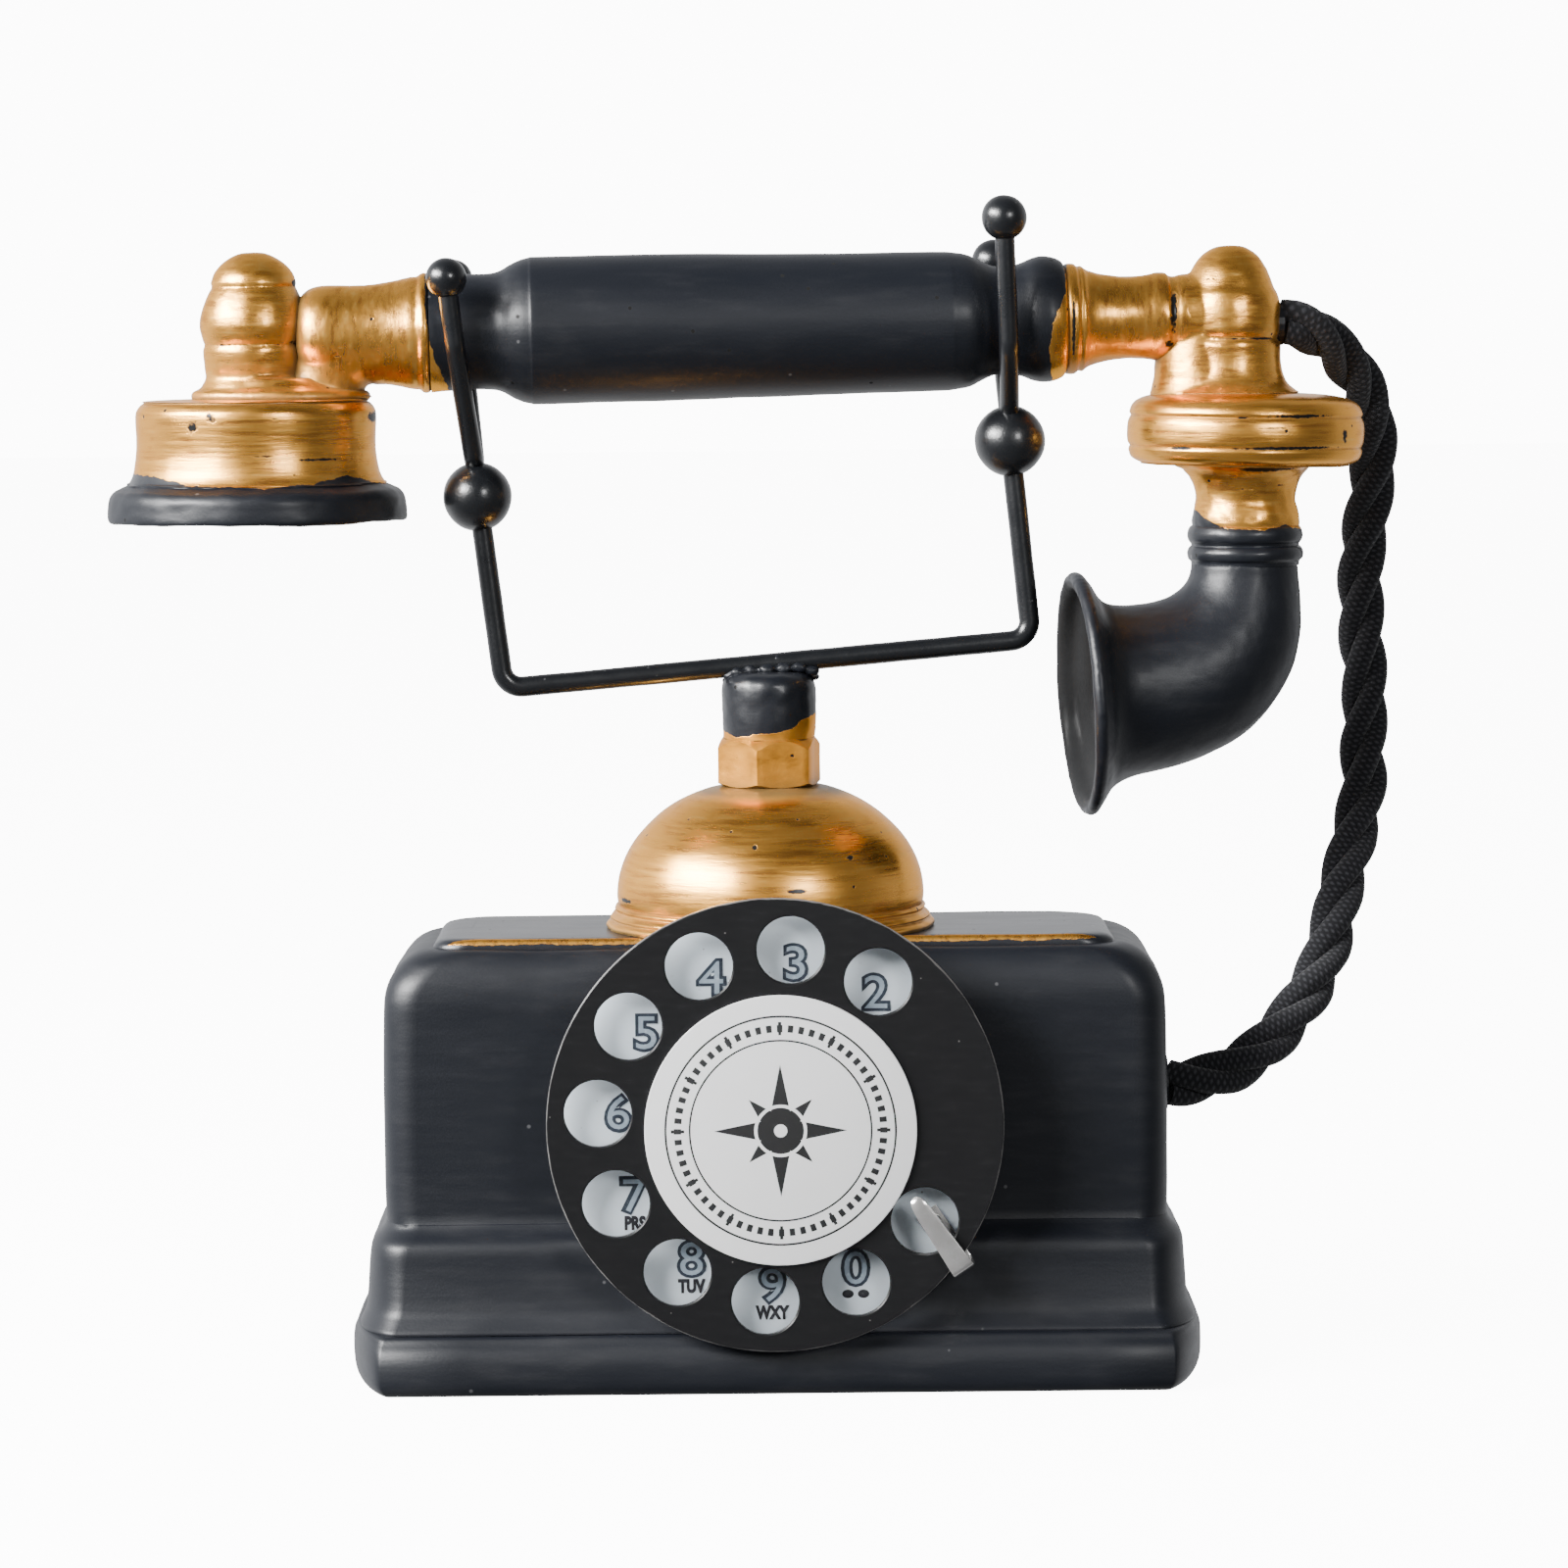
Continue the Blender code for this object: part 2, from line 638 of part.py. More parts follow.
def build_dial_mount():
    z = DIAL_CENTRE.z
    face = HOUSING_HALF_Y / MM + 0.3
    plate_back = -(NUMBER_FRONT + NUMBER_THICKNESS) / MM
    hole = BUSH_HOLE / MM
    radius = CUP_RADIUS / MM
    profile = [(hole, plate_back - 0.3), (radius - 1, plate_back - 0.3), (radius, plate_back - 1.3)]
    profile += [(radius, face), (hole, face)]
    turned("dial_cup", profile, satin_black("dial_cup"), "y", (0, 0, z), 32)
    front = -NUMBER_FRONT / MM
    white = paint("number_plate", (0.72, 0.76, 0.80), 0.0, 0.35)
    edge = NUMBER_RADIUS / MM
    profile = [(hole, front), (edge - 0.2, front), (edge, front - 0.2)]
    profile += [(edge, plate_back), (hole, plate_back)]
    turned("number_plate", profile, white, "y", (0, 0, z), 32)
    hole = SPINDLE_RADIUS / MM + 0.3
    flange = BUSH_FLANGE / MM
    profile = [(hole, front + 1.3), (flange, front + 1.3), (flange, front + 0.3), (5.0, front + 0.3)]
    profile += [(5.0, 15.0), (hole, 15.0)]
    turned("dial_bush", profile, brass("dial_bush"), "y", (0, 0, z), 24)
    mesh = hexagon_mesh("dial_nut", 16 * MM, 16.2 * MM, 20.2 * MM, 0.7 * MM)
    nut = mesh_object("dial_nut", mesh, steel("dial_nut"), smooth=False)
    nut.matrix_world = placed("y", (0, 0, z))
    combine(nut, [rod_cutter(BUSH_HOLE, (0, -40 * MM, z), (0, 0, z), 24)])


def hole_centres():
    """Middles of the finger holes in the dial's plane."""
    found = []
    for k in range(HOLE_COUNT):
        a = HOLE_FIRST + HOLE_STEP * k
        found.append((HOLE_CIRCLE * math.cos(a), DIAL_CENTRE.z + HOLE_CIRCLE * math.sin(a)))
    return found


def build_wheel():
    z = DIAL_CENTRE.z
    front, back = -WHEEL_FRONT / MM, -(WHEEL_FRONT + WHEEL_THICKNESS) / MM
    radius = WHEEL_RADIUS / MM
    hole = SPINDLE_RADIUS / MM + 0.3
    profile = [(hole, front), (radius - 0.3, front), (radius, front - 0.3)]
    profile += [(radius, back + 0.3), (radius - 0.3, back), (hole, back)]
    wheel = turned("finger_wheel", profile, gloss_black("finger_wheel"), "y", (0, 0, z), 44)
    low, high = WHEEL_FRONT - 3 * MM, WHEEL_FRONT + 4 * MM
    combine(wheel, [rod_cutter(HOLE_RADIUS, (x, low, h), (x, high, h), 12) for x, h in hole_centres()])
    face = front + 0.3
    paper = paint("wheel_label", (0.85, 0.85, 0.84), 0.0, 0.5)
    label_radius = LABEL_RADIUS / MM
    profile = [(0, face + LABEL_THICKNESS / MM), (label_radius, face + LABEL_THICKNESS / MM)]
    profile += [(label_radius, face), (0, face)]
    turned("wheel_label", profile, paper, "y", (0, 0, z), 32)
    profile = [(0, front - 0.1), (2.5, front - 0.1), (2.5, back - 0.3), (6.0, back - 0.3)]
    profile += [(6.0, back - 1.5), (2.5, back - 1.5), (2.5, 11.6), (0, 11.6)]
    turned("wheel_spindle", profile, steel("wheel_spindle"), "y", (0, 0, z), 20)
    profile = [(hole, 14.7), (4.6, 14.7), (4.6, 13.7), (hole, 13.7)]
    turned("spindle_clip", profile, steel("spindle_clip"), "y", (0, 0, z), 20)


def build_finger_stop():
    """A bent strip: tab on the number plate, riser past the rim, arm over the wheel."""
    r = WHEEL_RADIUS + 1.1 * MM
    foot = Vector((r * math.cos(STOP_ANGLE), 0, DIAL_CENTRE.z + r * math.sin(STOP_ANGLE)))
    arm = Vector((math.cos(STOP_ARM), 0, math.sin(STOP_ARM)))
    side = arm.cross(Vector((0, 1, 0))).normalized()
    t = STOP_THICKNESS
    tab_y, arm_y = NUMBER_FRONT - GAP, WHEEL_FRONT - 1.1 * MM
    outline = [(10.5, tab_y), (-t / MM, tab_y), (-t / MM, arm_y - t), (12.8, arm_y - t)]
    outline += [(13.6, arm_y - t * 0.2), (13.2, arm_y), (0, arm_y), (0, tab_y - t), (10.5, tab_y - t)]
    rings = []
    for offset in (-STOP_WIDTH / 2, STOP_WIDTH / 2):
        ring = [foot + arm * (s * MM) + Vector((0, y, 0)) + side * offset for s, y in outline]
        rings.append(ring)
    mesh = loft_mesh("finger_stop", rings)
    chrome = paint("finger_stop", (0.75, 0.75, 0.74), 1.0, 0.15)
    stop = mesh_object("finger_stop", mesh, chrome, smooth=False)
    at = foot + arm * (8.2 * MM)
    low, high = Vector((at.x, -25 * MM, at.z)), Vector((at.x, tab_y - 1.5 * MM, at.z))
    hole = rod_cutter(1.1 * MM, high, low, 12)
    combine(stop, [hole])
    combine(bpy.data.objects["number_plate"], [hole])
    head = -(tab_y - t - GAP) / MM
    profile = [(0, head + 0.9), (1.1, head + 0.9), (1.6, head + 0.4), (1.6, head), (0.8, head)]
    profile += [(0.8, 30.4), (0, 30.4)]
    turned("stop_screw", profile, steel("stop_screw"), "y", (at.x, 0, at.z), 12)


# Handset


def in_handset(obj):
    """Moves a body made in the handset's own frame into the world."""
    obj.matrix_world = Matrix.Rotation(HANDSET_YAW, 4, "Z") @ obj.matrix_world
    return obj


def handset_cutter(cutter):
    cutter.matrix_world = Matrix.Rotation(HANDSET_YAW, 4, "Z")
    return cutter


def grip_matrix():
    lift = Matrix.Translation((0, 0, GRIP_AXIS_Z))
    return lift @ Matrix.Rotation(-GRIP_TILT, 4, "Y") @ Matrix.Rotation(math.pi / 2, 4, "Y")


def along_grip(name, profile, material, steps=TURN_STEPS):
    """A body turned about the grip's axis; heights in the profile are x along the grip."""
    obj = mesh_object(name, lathe_mesh(name, profile, steps), material)
    obj.matrix_world = grip_matrix()
    return in_handset(obj)


def grip_point(x):
    return Vector((x * MM, 0, GRIP_AXIS_Z + math.tan(GRIP_TILT) * x * MM))


def build_grip():
    outline = [(3.3, 50.4), (9.2, 50.4), (10.2, 49.4), (10.6, 47.6), (10.6, 46.2), (10.1, 44.4)]
    outline += [(9.3, 42.8), (9.1, 40.8), (9.3, 38.6), (10.1, 36.4), (11.1, 34.4), (11.6, 31.5)]
    outline += [(11.8, 27.9), (12.0, 7.8), (12.35, -14.0), (12.5, -37.0), (12.3, -40.6)]
    outline += [(11.4, -43.2), (10.2, -45.2), (9.8, -47.6), (9.9, -52.0), (10.0, -57.2), (3.3, -57.2)]
    along_grip("grip", outline, satin_black("grip"), 20)
    rod = [(0, 54.0), (2.6, 54.0), (3.0, 53.6), (3.0, -61.6), (2.6, -62.0), (0, -62.0)]
    along_grip("grip_rod", rod, steel("grip_rod"), 16)


def handset_turned(name, profile, material, x, tilt=0.0, steps=TURN_STEPS):
    obj = mesh_object(name, lathe_mesh(name, profile, steps), material)
    pivot = Matrix.Translation((x, 0, 158 * MM))
    back = Matrix.Translation((0, 0, -158 * MM))
    obj.matrix_world = pivot @ Matrix.Rotation(tilt, 4, "Y") @ back
    return in_handset(obj)


def handset_rod(radius, start, end, steps=20):
    return handset_cutter(rod_cutter(radius, start, end, steps))


def foot_cutter(centre_x, half_x, half_y, low, high, top_scale):
    """An oval cone used to widen an elbow where it stands on its plate."""
    rings = []
    for z, scale in ((low, 1.0), ((low + high) / 2, 1 - (1 - top_scale) * 0.7), (high, top_scale)):
        ring = []
        for k in range(24):
            a = 2 * math.pi * k / 24
            x = centre_x + half_x * scale * math.cos(a)
            ring.append(Vector((x, half_y * scale * math.sin(a), z)))
        rings.append(ring)
    return cutter_object(loft_mesh("cutter", rings))


def build_ear_elbow():
    outline = [(0, -57.5), (9.2, -57.5), (9.9, -58.2), (9.6, -60.0), (8.7, -63.4), (8.2, -66.5)]
    outline += [(8.0, -71.0), (8.1, -74.6), (7.7, -76.8), (6.5, -79.0), (0, -79.4)]
    obj = along_grip("ear_elbow", outline, gold("ear_elbow"))
    foot = foot_cutter(-73.6 * MM, 6.9 * MM, 7.0 * MM, 165.6 * MM, 175.0 * MM, 0.82)
    combine(obj, [handset_cutter(foot)], "UNION")
    boss = handset_rod(9.6 * MM, (EAR_X, 0, 160 * MM), (EAR_X, 0, 190 * MM), 32)
    bore = handset_rod(3.3 * MM, grip_point(-62.4), grip_point(-50))
    return combine(obj, [boss, bore])


def build_ear():
    profile = [(0, 190.4), (2.6, 190.1), (4.9, 188.9), (6.5, 186.9), (7.0, 185.4), (7.0, 184.7)]
    profile += [(7.6, 184.0), (8.6, 181.8), (9.25, 179.2), (9.3, 177.6), (8.7, 175.6), (8.35, 175.2)]
    profile += [(8.35, 174.8), (8.75, 174.2), (8.5, 171.5), (8.2, 169.2), (8.9, 167.9)]
    profile += [(9.3, 165.9), (0, 165.9)]
    boss = handset_turned("ear_boss", profile, gold("ear_boss"), EAR_X)
    stud_hole = handset_rod(2.3 * MM, (EAR_X, 0, 150 * MM), (EAR_X, 0, 173 * MM), 16)
    combine(boss, [stud_hole])
    profile = [(0, 165.3), (18.6, 165.1), (19.8, 164.6), (20.2, 163.4), (20.2, 156.5), (20.7, 153.2)]
    profile += [(21.0, 151.9), (17.6, 151.9), (17.6, 161.0), (0, 161.0)]
    drum = handset_turned("ear_drum", profile, gold("ear_drum"), EAR_X, steps=24)
    combine(drum, [stud_hole])
    profile = [(0, 172.4), (2.0, 172.4), (2.0, 160.7), (4.2, 160.7), (4.2, 158.7), (0, 158.7)]
    handset_turned("ear_stud", profile, steel("ear_stud"), EAR_X, steps=16)
    profile = [(17.0, 158.0), (17.2, 157.6), (17.2, 151.6), (21.3, 151.6), (22.6, 150.6), (24.2, 149.9)]
    profile += [(25.0, 148.6), (25.0, 146.2), (24.5, 145.2), (22.0, 144.8), (9.0, 146.4), (0, 146.6)]
    profile = [(0, 148.8), (15.0, 148.8), (15.2, 158.0), *profile]
    cap = handset_turned("ear_cap", profile, satin_black("ear_cap"), EAR_X, steps=24)
    holes = []
    for k in range(7):
        r = 0 if k == 6 else 5.0 * MM
        x = EAR_X + r * math.cos(k * math.pi / 3)
        y = r * math.sin(k * math.pi / 3)
        holes.append(handset_rod(1.0 * MM, (x, y, 140 * MM), (x, y, 147.6 * MM), 10))
    return combine(cap, holes)


def build_mouth_ferrule():
    outline = [(0, 70.7), (6.9, 70.7), (6.9, 68.2), (7.4, 67.6), (7.4, 64.6), (7.0, 62.0)]
    outline += [(7.0, 58.6), (7.6, 55.0), (8.5, 53.2), (9.2, 52.4), (9.2, 50.9), (8.9, 50.7), (0, 50.7)]
    obj = along_grip("mouth_ferrule", outline, gold("mouth_ferrule"))
    knob = handset_rod(9.1 * MM, (MOUTH_X, 0, 150 * MM), (MOUTH_X, 0, 195 * MM), 32)
    bore = handset_rod(3.3 * MM, grip_point(45), grip_point(54.4))
    return combine(obj, [knob, bore])


def build_mouth():
    profile = [(0, 190.1), (2.4, 189.8), (4.6, 188.2), (6.2, 185.9), (7.2, 183.4), (8.2, 181.0)]
    profile += [(8.6, 178.0), (8.6, 175.2), (8.15, 174.6), (8.15, 174.2), (8.7, 173.6), (8.7, 171.4)]
    profile += [(9.1, 169.0), (10.2, 166.6), (11.0, 165.6), (0, 165.6)]
    knob = handset_turned("mouth_knob", profile, gold("mouth_knob"), MOUTH_X)
    foot = foot_cutter(71.5 * MM, 6.3 * MM, 7.2 * MM, 165.7 * MM, 170.6 * MM, 0.86)
    combine(knob, [handset_cutter(foot)], "UNION")
    stud_hole = handset_rod(2.3 * MM, (MOUTH_X, 0, 140 * MM), (MOUTH_X, 0, 173 * MM), 16)
    exit_point = cord_exit_local()
    socket_start = exit_point - Vector((3.2 * MM, 0, 0))
    socket = handset_rod(GROMMET_RADIUS - 0.6 * MM, socket_start, exit_point + Vector((9 * MM, 0, 0)))
    ferrule = handset_rod(7.7 * MM, grip_point(60), grip_point(71.2), 28)
    combine(knob, [ferrule, stud_hole, socket])
    profile = [(0, 164.6), (15.8, 164.4), (17.2, 163.4), (18.9, 162.5), (19.6, 161.6), (19.2, 161.2)]
    profile += [(19.2, 160.9), (19.9, 160.5), (20.0, 156.4), (19.4, 156.0), (19.4, 155.7)]
    profile += [(19.6, 155.3), (18.6, 153.6), (17.0, 153.1), (0, 153.1)]
    disc = handset_turned("mouth_disc", profile, gold("mouth_disc"), DISC_X, DISC_TILT, 24)
    combine(disc, [stud_hole])
    profile = [(0, 152.7), (11.6, 152.7), (10.4, 151.6), (9.2, 150.4), (8.5, 148.6), (8.4, 147.0)]
    profile += [(8.9, 145.0), (9.3, 142.8), (0, 142.8)]
    neck = handset_turned("mouth_neck", profile, gold("mouth_neck"), DISC_X)
    combine(neck, [stud_hole])
    profile = [(0, 172.4), (2.0, 172.4), (2.0, 146.0), (0, 146.0)]
    handset_turned("mouth_stud", profile, steel("mouth_stud"), MOUTH_X, steps=16)
    profile = [(0, 142.5), (9.2, 142.5), (9.6, 141.8), (9.6, 140.2), (9.1, 139.6), (9.1, 139.2)]
    profile += [(9.6, 138.6), (9.6, 136.9), (9.2, 136.3), (0, 136.3)]
    handset_turned("horn_collar", profile, satin_black("horn_collar"), DISC_X)


HORN_LINE = [
    (81.4, 136.0, 9.4),
    (81.4, 131.6, 9.7),
    (80.4, 125.7, 11.2),
    (77.0, 119.7, 13.4),
    (69.8, 115.4, 14.6),
    (61.1, 113.9, 15.1),
    (56.6, 113.6, 16.6),
    (54.4, 113.6, 18.8),
    (52.6, 113.8, 20.8),
]


def horn_ring(x, z, radius, direction, count=18):
    """A ring round the horn's centreline, in the handset's frame."""
    across = Vector((direction.z, 0, -direction.x)).normalized()
    side = Vector((0, 1, 0))
    angles = [2 * math.pi * k / count for k in range(count)]
    centre = Vector((x, 0, z))
    return [centre + radius * (math.cos(a) * across + math.sin(a) * side) for a in angles]


def build_horn():
    """The outer rings run from the collar to the rim, the inner ones back to the throat."""
    points = [Vector(p) for p in HORN_LINE]
    fine = [p * MM for p in smooth_points(points, 2)]
    rings = []
    for i, p in enumerate(fine):
        ahead = fine[min(i + 1, len(fine) - 1)] - fine[max(i - 1, 0)]
        direction = Vector((ahead.x, 0, ahead.y)).normalized()
        if i == len(fine) - 1:
            direction = Vector((-math.cos(math.radians(4)), 0, -math.sin(math.radians(4))))
        if i == 0:
            direction = Vector((0, 0, -1))
        rings.append((p.x, p.y, p.z, direction))
    outer = [horn_ring(*ring) for ring in rings]
    last_x, last_z, last_r, last_d = rings[-1]
    rim = [
        horn_ring(last_x - 0.9 * MM, last_z, last_r - 0.4 * MM, last_d),
        horn_ring(last_x - 0.9 * MM, last_z, last_r - 1.6 * MM, last_d),
    ]
    wall = 1.9 * MM
    inner = [horn_ring(x, z, r - wall, d) for x, z, r, d in reversed(rings[3:-1])]
    mesh = loft_mesh("horn", outer + rim + inner)
    neck = Matrix.Translation((DISC_X, 0, 0))
    mesh.transform(neck @ Matrix.Rotation(HORN_TURN, 4, "Z") @ neck.inverted())
    return in_handset(mesh_object("horn", mesh, satin_black("horn")))


# Cord


def cord_exit_local():
    """Where the cord leaves the mouth knob, in the handset's frame."""
    world = Vector(CORD_ROUTE[0]) * MM
    return Matrix.Rotation(-HANDSET_YAW, 3, "Z") @ world


def build_cord():
    route = [Vector(p) * MM for p in CORD_ROUTE]
    rubber = satin_black("cord_grommet_handset")
    exit_point = cord_exit_local()
    profile = [(0, -GAP / MM), (3.6, -GAP / MM), (3.6, -2.9), (0, -2.9)]
    obj = mesh_object("cord_grommet_handset", lathe_mesh("cord_grommet_handset", profile, 20), rubber)
    obj.matrix_world = placed("x", exit_point)
    in_handset(obj)
    end = route[-1]
    start_x = HOUSING_HALF_X / MM - HOUSING_WALL / MM - 1.0
    head = end.x / MM - 0.3
    wall_x = HOUSING_HALF_X / MM + 0.3
    profile = [(0, head), (GROMMET_RADIUS / MM, head), (GROMMET_RADIUS / MM, wall_x)]
    profile += [(GROMMET_RADIUS / MM - 1.2, wall_x), (GROMMET_RADIUS / MM - 1.2, start_x), (0, start_x)]
    material = satin_black("cord_grommet_base")
    turned("cord_grommet_base", profile, material, "x", (0, end.y, end.z), 20)
    fabric = paint("cord", (0.012, 0.012, 0.014), 0.0, 0.85)
    wire("cord", smooth_points(route, 1), CORD_RADIUS, fabric)


def main():
    build_plinth()
    build_housing()
    build_top_plate()
    build_underside()
    build_bell()
    build_stem()
    build_cradle_rod()
    build_fork("left", BALL_LEFT, BALL_LEFT_RADIUS, TIP_LEFT, 0.0, 12.6 * MM, 174.5 * MM,
               TIP_LEFT_RADIUS)
    build_fork("right", BALL_RIGHT, BALL_RIGHT_RADIUS, TIP_RIGHT, TIP_RIGHT_REAR_DROP,
               12.0 * MM, 173.6 * MM, TIP_RIGHT_RADIUS)
    build_dial_mount()
    build_wheel()
    build_finger_stop()
    build_grip()
    build_ear_elbow()
    build_ear()
    build_mouth_ferrule()
    build_mouth()
    build_horn()
    build_cord()


main()
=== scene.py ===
import bmesh
import bpy
import math
from mathutils import Matrix, Vector, noise


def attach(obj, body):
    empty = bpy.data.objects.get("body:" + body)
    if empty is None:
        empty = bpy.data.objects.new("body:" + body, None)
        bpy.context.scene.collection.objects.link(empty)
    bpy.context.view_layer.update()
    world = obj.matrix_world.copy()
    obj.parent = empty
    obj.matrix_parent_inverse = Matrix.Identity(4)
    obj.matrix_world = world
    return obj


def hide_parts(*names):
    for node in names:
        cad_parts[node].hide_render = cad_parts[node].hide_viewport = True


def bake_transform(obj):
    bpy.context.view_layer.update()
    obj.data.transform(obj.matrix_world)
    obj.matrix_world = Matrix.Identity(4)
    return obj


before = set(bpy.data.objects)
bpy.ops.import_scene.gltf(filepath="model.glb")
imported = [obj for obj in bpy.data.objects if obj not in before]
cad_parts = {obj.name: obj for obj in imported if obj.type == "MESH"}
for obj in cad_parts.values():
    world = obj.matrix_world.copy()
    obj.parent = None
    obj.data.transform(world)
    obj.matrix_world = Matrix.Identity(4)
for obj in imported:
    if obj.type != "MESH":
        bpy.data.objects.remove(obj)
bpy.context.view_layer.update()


def shift(x, y, z):
    return Matrix.Translation((x, y, z))


def spin(degrees, axis):
    return Matrix.Rotation(math.radians(degrees), 4, axis)


# Shapes are worked out in millimetres and degrees; the camera and the lights are in metres

MM = 0.001
CAMERA_AT, CAMERA_DOWN, CAMERA_ROLL = (0.002, -0.877, 0.179), 5.2, -0.55
LENS, SENSOR = 118.125, 36
BACKDROP = 12.0

HANDSET_YAW = spin(2.5, "Z")
GRIP_Z, GRIP_TILT = 177.4, 0.7
GRIP_AXIS = shift(0, 0, GRIP_Z) @ spin(-GRIP_TILT, "Y") @ spin(90, "Y")
EAR_X, MOUTH_X, DISC_X = -86.9, 78.7, 81.4
STEM_X = -0.5
STEM = shift(STEM_X, 0, 0)
DIAL = Vector((0, 0, 45.9))
LABEL = DIAL + Vector((0.9, 0, -0.7))
DIAL_PLACE, LABEL_PLACE = (shift(*middle) @ spin(90, "X") for middle in (DIAL, LABEL))

BLACK, BLACK_WORN = (0.0064, 0.0080, 0.0126), (0.014, 0.0152, 0.0195)
BLACK_GLOSS = 0.39
GOLD = (1.0, 0.470, 0.076)
GOLD_DEEP, GOLD_PALE = (0.66, 0.262, 0.046), (1.0, 0.615, 0.16)
# The second colour on the next line is painted shade: the dark brown the gold turns in creases and at joints
GOLD_RICH, GOLD_SHADE = (1.0, 0.40, 0.03), (0.155, 0.100, 0.038)
GOLD_EDGE, WHITE = (1.0, 0.70, 0.30), (1.0, 1.0, 1.0)
BARE_RESIN = (0.62, 0.60, 0.57)

# How far the brush strokes stretch along x, y and z
AROUND, TURNED, ALONG = (0.10, 0.10, 1.5), (0.22, 0.22, 1.2), (0.9, 0.28, 0.28)


def placed(name, data):
    """A new object in the scene."""
    obj = bpy.data.objects.new(name, data)
    bpy.context.scene.collection.objects.link(obj)
    return obj


def make_camera():
    data = bpy.data.cameras.new("camera")
    data.lens, data.sensor_width = LENS, SENSOR
    camera = placed("camera", data)
    camera.matrix_world = shift(*CAMERA_AT) @ spin(90 - CAMERA_DOWN, "X") @ spin(CAMERA_ROLL, "Z")
    bpy.context.scene.camera = camera


# Shapes: a shape is its points and its faces


def circle(count):
    """Cosine and sine of points spread evenly round a circle."""
    angles = [math.tau * k / count for k in range(count)]
    return [(math.cos(a), math.sin(a)) for a in angles]


def catmull(points, per):
    points = [Vector(p) for p in points]
    ends = [2 * points[0] - points[1], *points, 2 * points[-1] - points[-2]]
    out = []
    for p0, p1, p2, p3 in zip(ends, ends[1:], ends[2:], ends[3:]):
        for k in range(per):
            t = k / per
            a = 2 * p1 + (p2 - p0) * t
            b = (2 * p0 - 5 * p1 + 4 * p2 - p3) * t * t
            c = (3 * p1 - p0 - 3 * p2 + p3) * t * t * t
            out.append((a + b + c) / 2)
    return [*out, points[-1]]


def flow(points, per=5):
    """Smooth curves through (radius, height) points; a third value marks a corner."""
    out, run = [], [points[0][:2]]
    for i, point in enumerate(points[1:], 1):
        run.append(point[:2])
        if len(point) > 2 or i == len(points) - 1:
            out += catmull(run, per)[:-1] if len(run) > 2 else [Vector(run[0])]
            run = [point[:2]]
    return [*out, Vector(points[-1][:2])]


def lathe(profile, steps=96, per=5):
    """A body turned about +Z, closed on itself or at the axis."""
    line = flow(profile, per)
    solid = profile[0][0] == 0 and profile[-1][0] == 0
    verts, rings = [], []
    for i, (radius, height) in enumerate(line):
        if solid and i in (0, len(line) - 1):
            rings.append([len(verts)] * steps)
            verts.append(Vector((0, 0, height)))
            continue
        rings.append([len(verts) + k for k in range(steps)])
        r = max(radius, 0.02)
        verts += [Vector((r * c, r * s, height)) for c, s in circle(steps)]
    if not solid:
        rings.append(rings[0])
    faces = []
    for upper, lower in zip(rings, rings[1:]):
        for i in range(steps):
            j = (i + 1) % steps
            corners = upper[i], lower[i], lower[j], upper[j]
            faces.append(list(dict.fromkeys(corners)))
    return verts, faces


def loft(rings):
    """A body through rings of equally many points, with flat ends."""
    count = len(rings[0])
    verts = [Vector(p) for ring in rings for p in ring]
    faces = []
    for a in range(0, len(verts) - count, count):
        for i in range(count):
            j = (i + 1) % count
            faces.append([a + i, a + j, a + count + j, a + count + i])
    ends = [list(range(count))[::-1], [len(verts) - count + i for i in range(count)]]
    return verts, faces + ends


def directions(points):
    """Unit directions along a line and one side vector each, carried along without twist."""
    last = len(points) - 1
    ahead = [
        (points[min(i + 1, last)] - points[max(i - 1, 0)]).normalized()
        for i in range(last + 1)
    ]
    side = ahead[0].cross(Vector((0.3, 1, 0.2))).normalized()
    sides = []
    for a in ahead:
        side = (side - a * side.dot(a)).normalized()
        sides.append(side)
    return ahead, sides


def tube(points, radius, sides):
    """A round body along points; radius is a number or one number for each point."""
    radii = radius if isinstance(radius, list) else [radius] * len(points)
    rings = []
    for p, r, ahead, side in zip(points, radii, *directions(points)):
        up = ahead.cross(side)
        rings.append([p + r * (c * side + s * up) for c, s in circle(sides)])
    return loft(rings)


def rounded(points, radius, segments=9, spacing=3.0):
    """A line whose inner corners are arcs, with points along its straight parts too."""
    points = [Vector(p) for p in points]
    out = [points[0]]

    def straight_to(end):
        start, count = out[-1], int((end - out[-1]).length / spacing)
        out.extend(start.lerp(end, k / count) for k in range(1, count))

    for before, corner, after in zip(points, points[1:], points[2:]):
        u, v = (before - corner).normalized(), (after - corner).normalized()
        half = math.acos(max(-1, min(1, u.dot(v)))) / 2
        centre = corner + (u + v).normalized() * radius / math.sin(half)
        first, last = (
            (corner + side * radius / math.tan(half) - centre).normalized() for side in (u, v)
        )
        straight_to(centre + first * radius)
        out += [centre + first.slerp(last, i / segments) * radius for i in range(segments + 1)]
    straight_to(points[-1])
    return [*out, points[-1]]


def sphere(centre, radius, steps=40, scale=(1, 1, 1)):
    arc = [math.pi * i / 24 for i in range(25)]
    points = [(radius * math.sin(a), radius * math.cos(a), 0) for a in arc]
    points[0], points[-1] = (0, radius, 0), (0, -radius, 0)
    verts, faces = lathe(points, steps, 1)
    centre = Vector(centre)
    return [centre + Vector(v * s for v, s in zip(p, scale)) for p in verts], faces


def moved(shape, matrix):
    return [matrix @ v for v in shape[0]], shape[1]


def joined(*shapes):
    verts, faces = [], []
    for more, theirs in shapes:
        faces += [[i + len(verts) for i in face] for face in theirs]
        verts += more
    return verts, faces


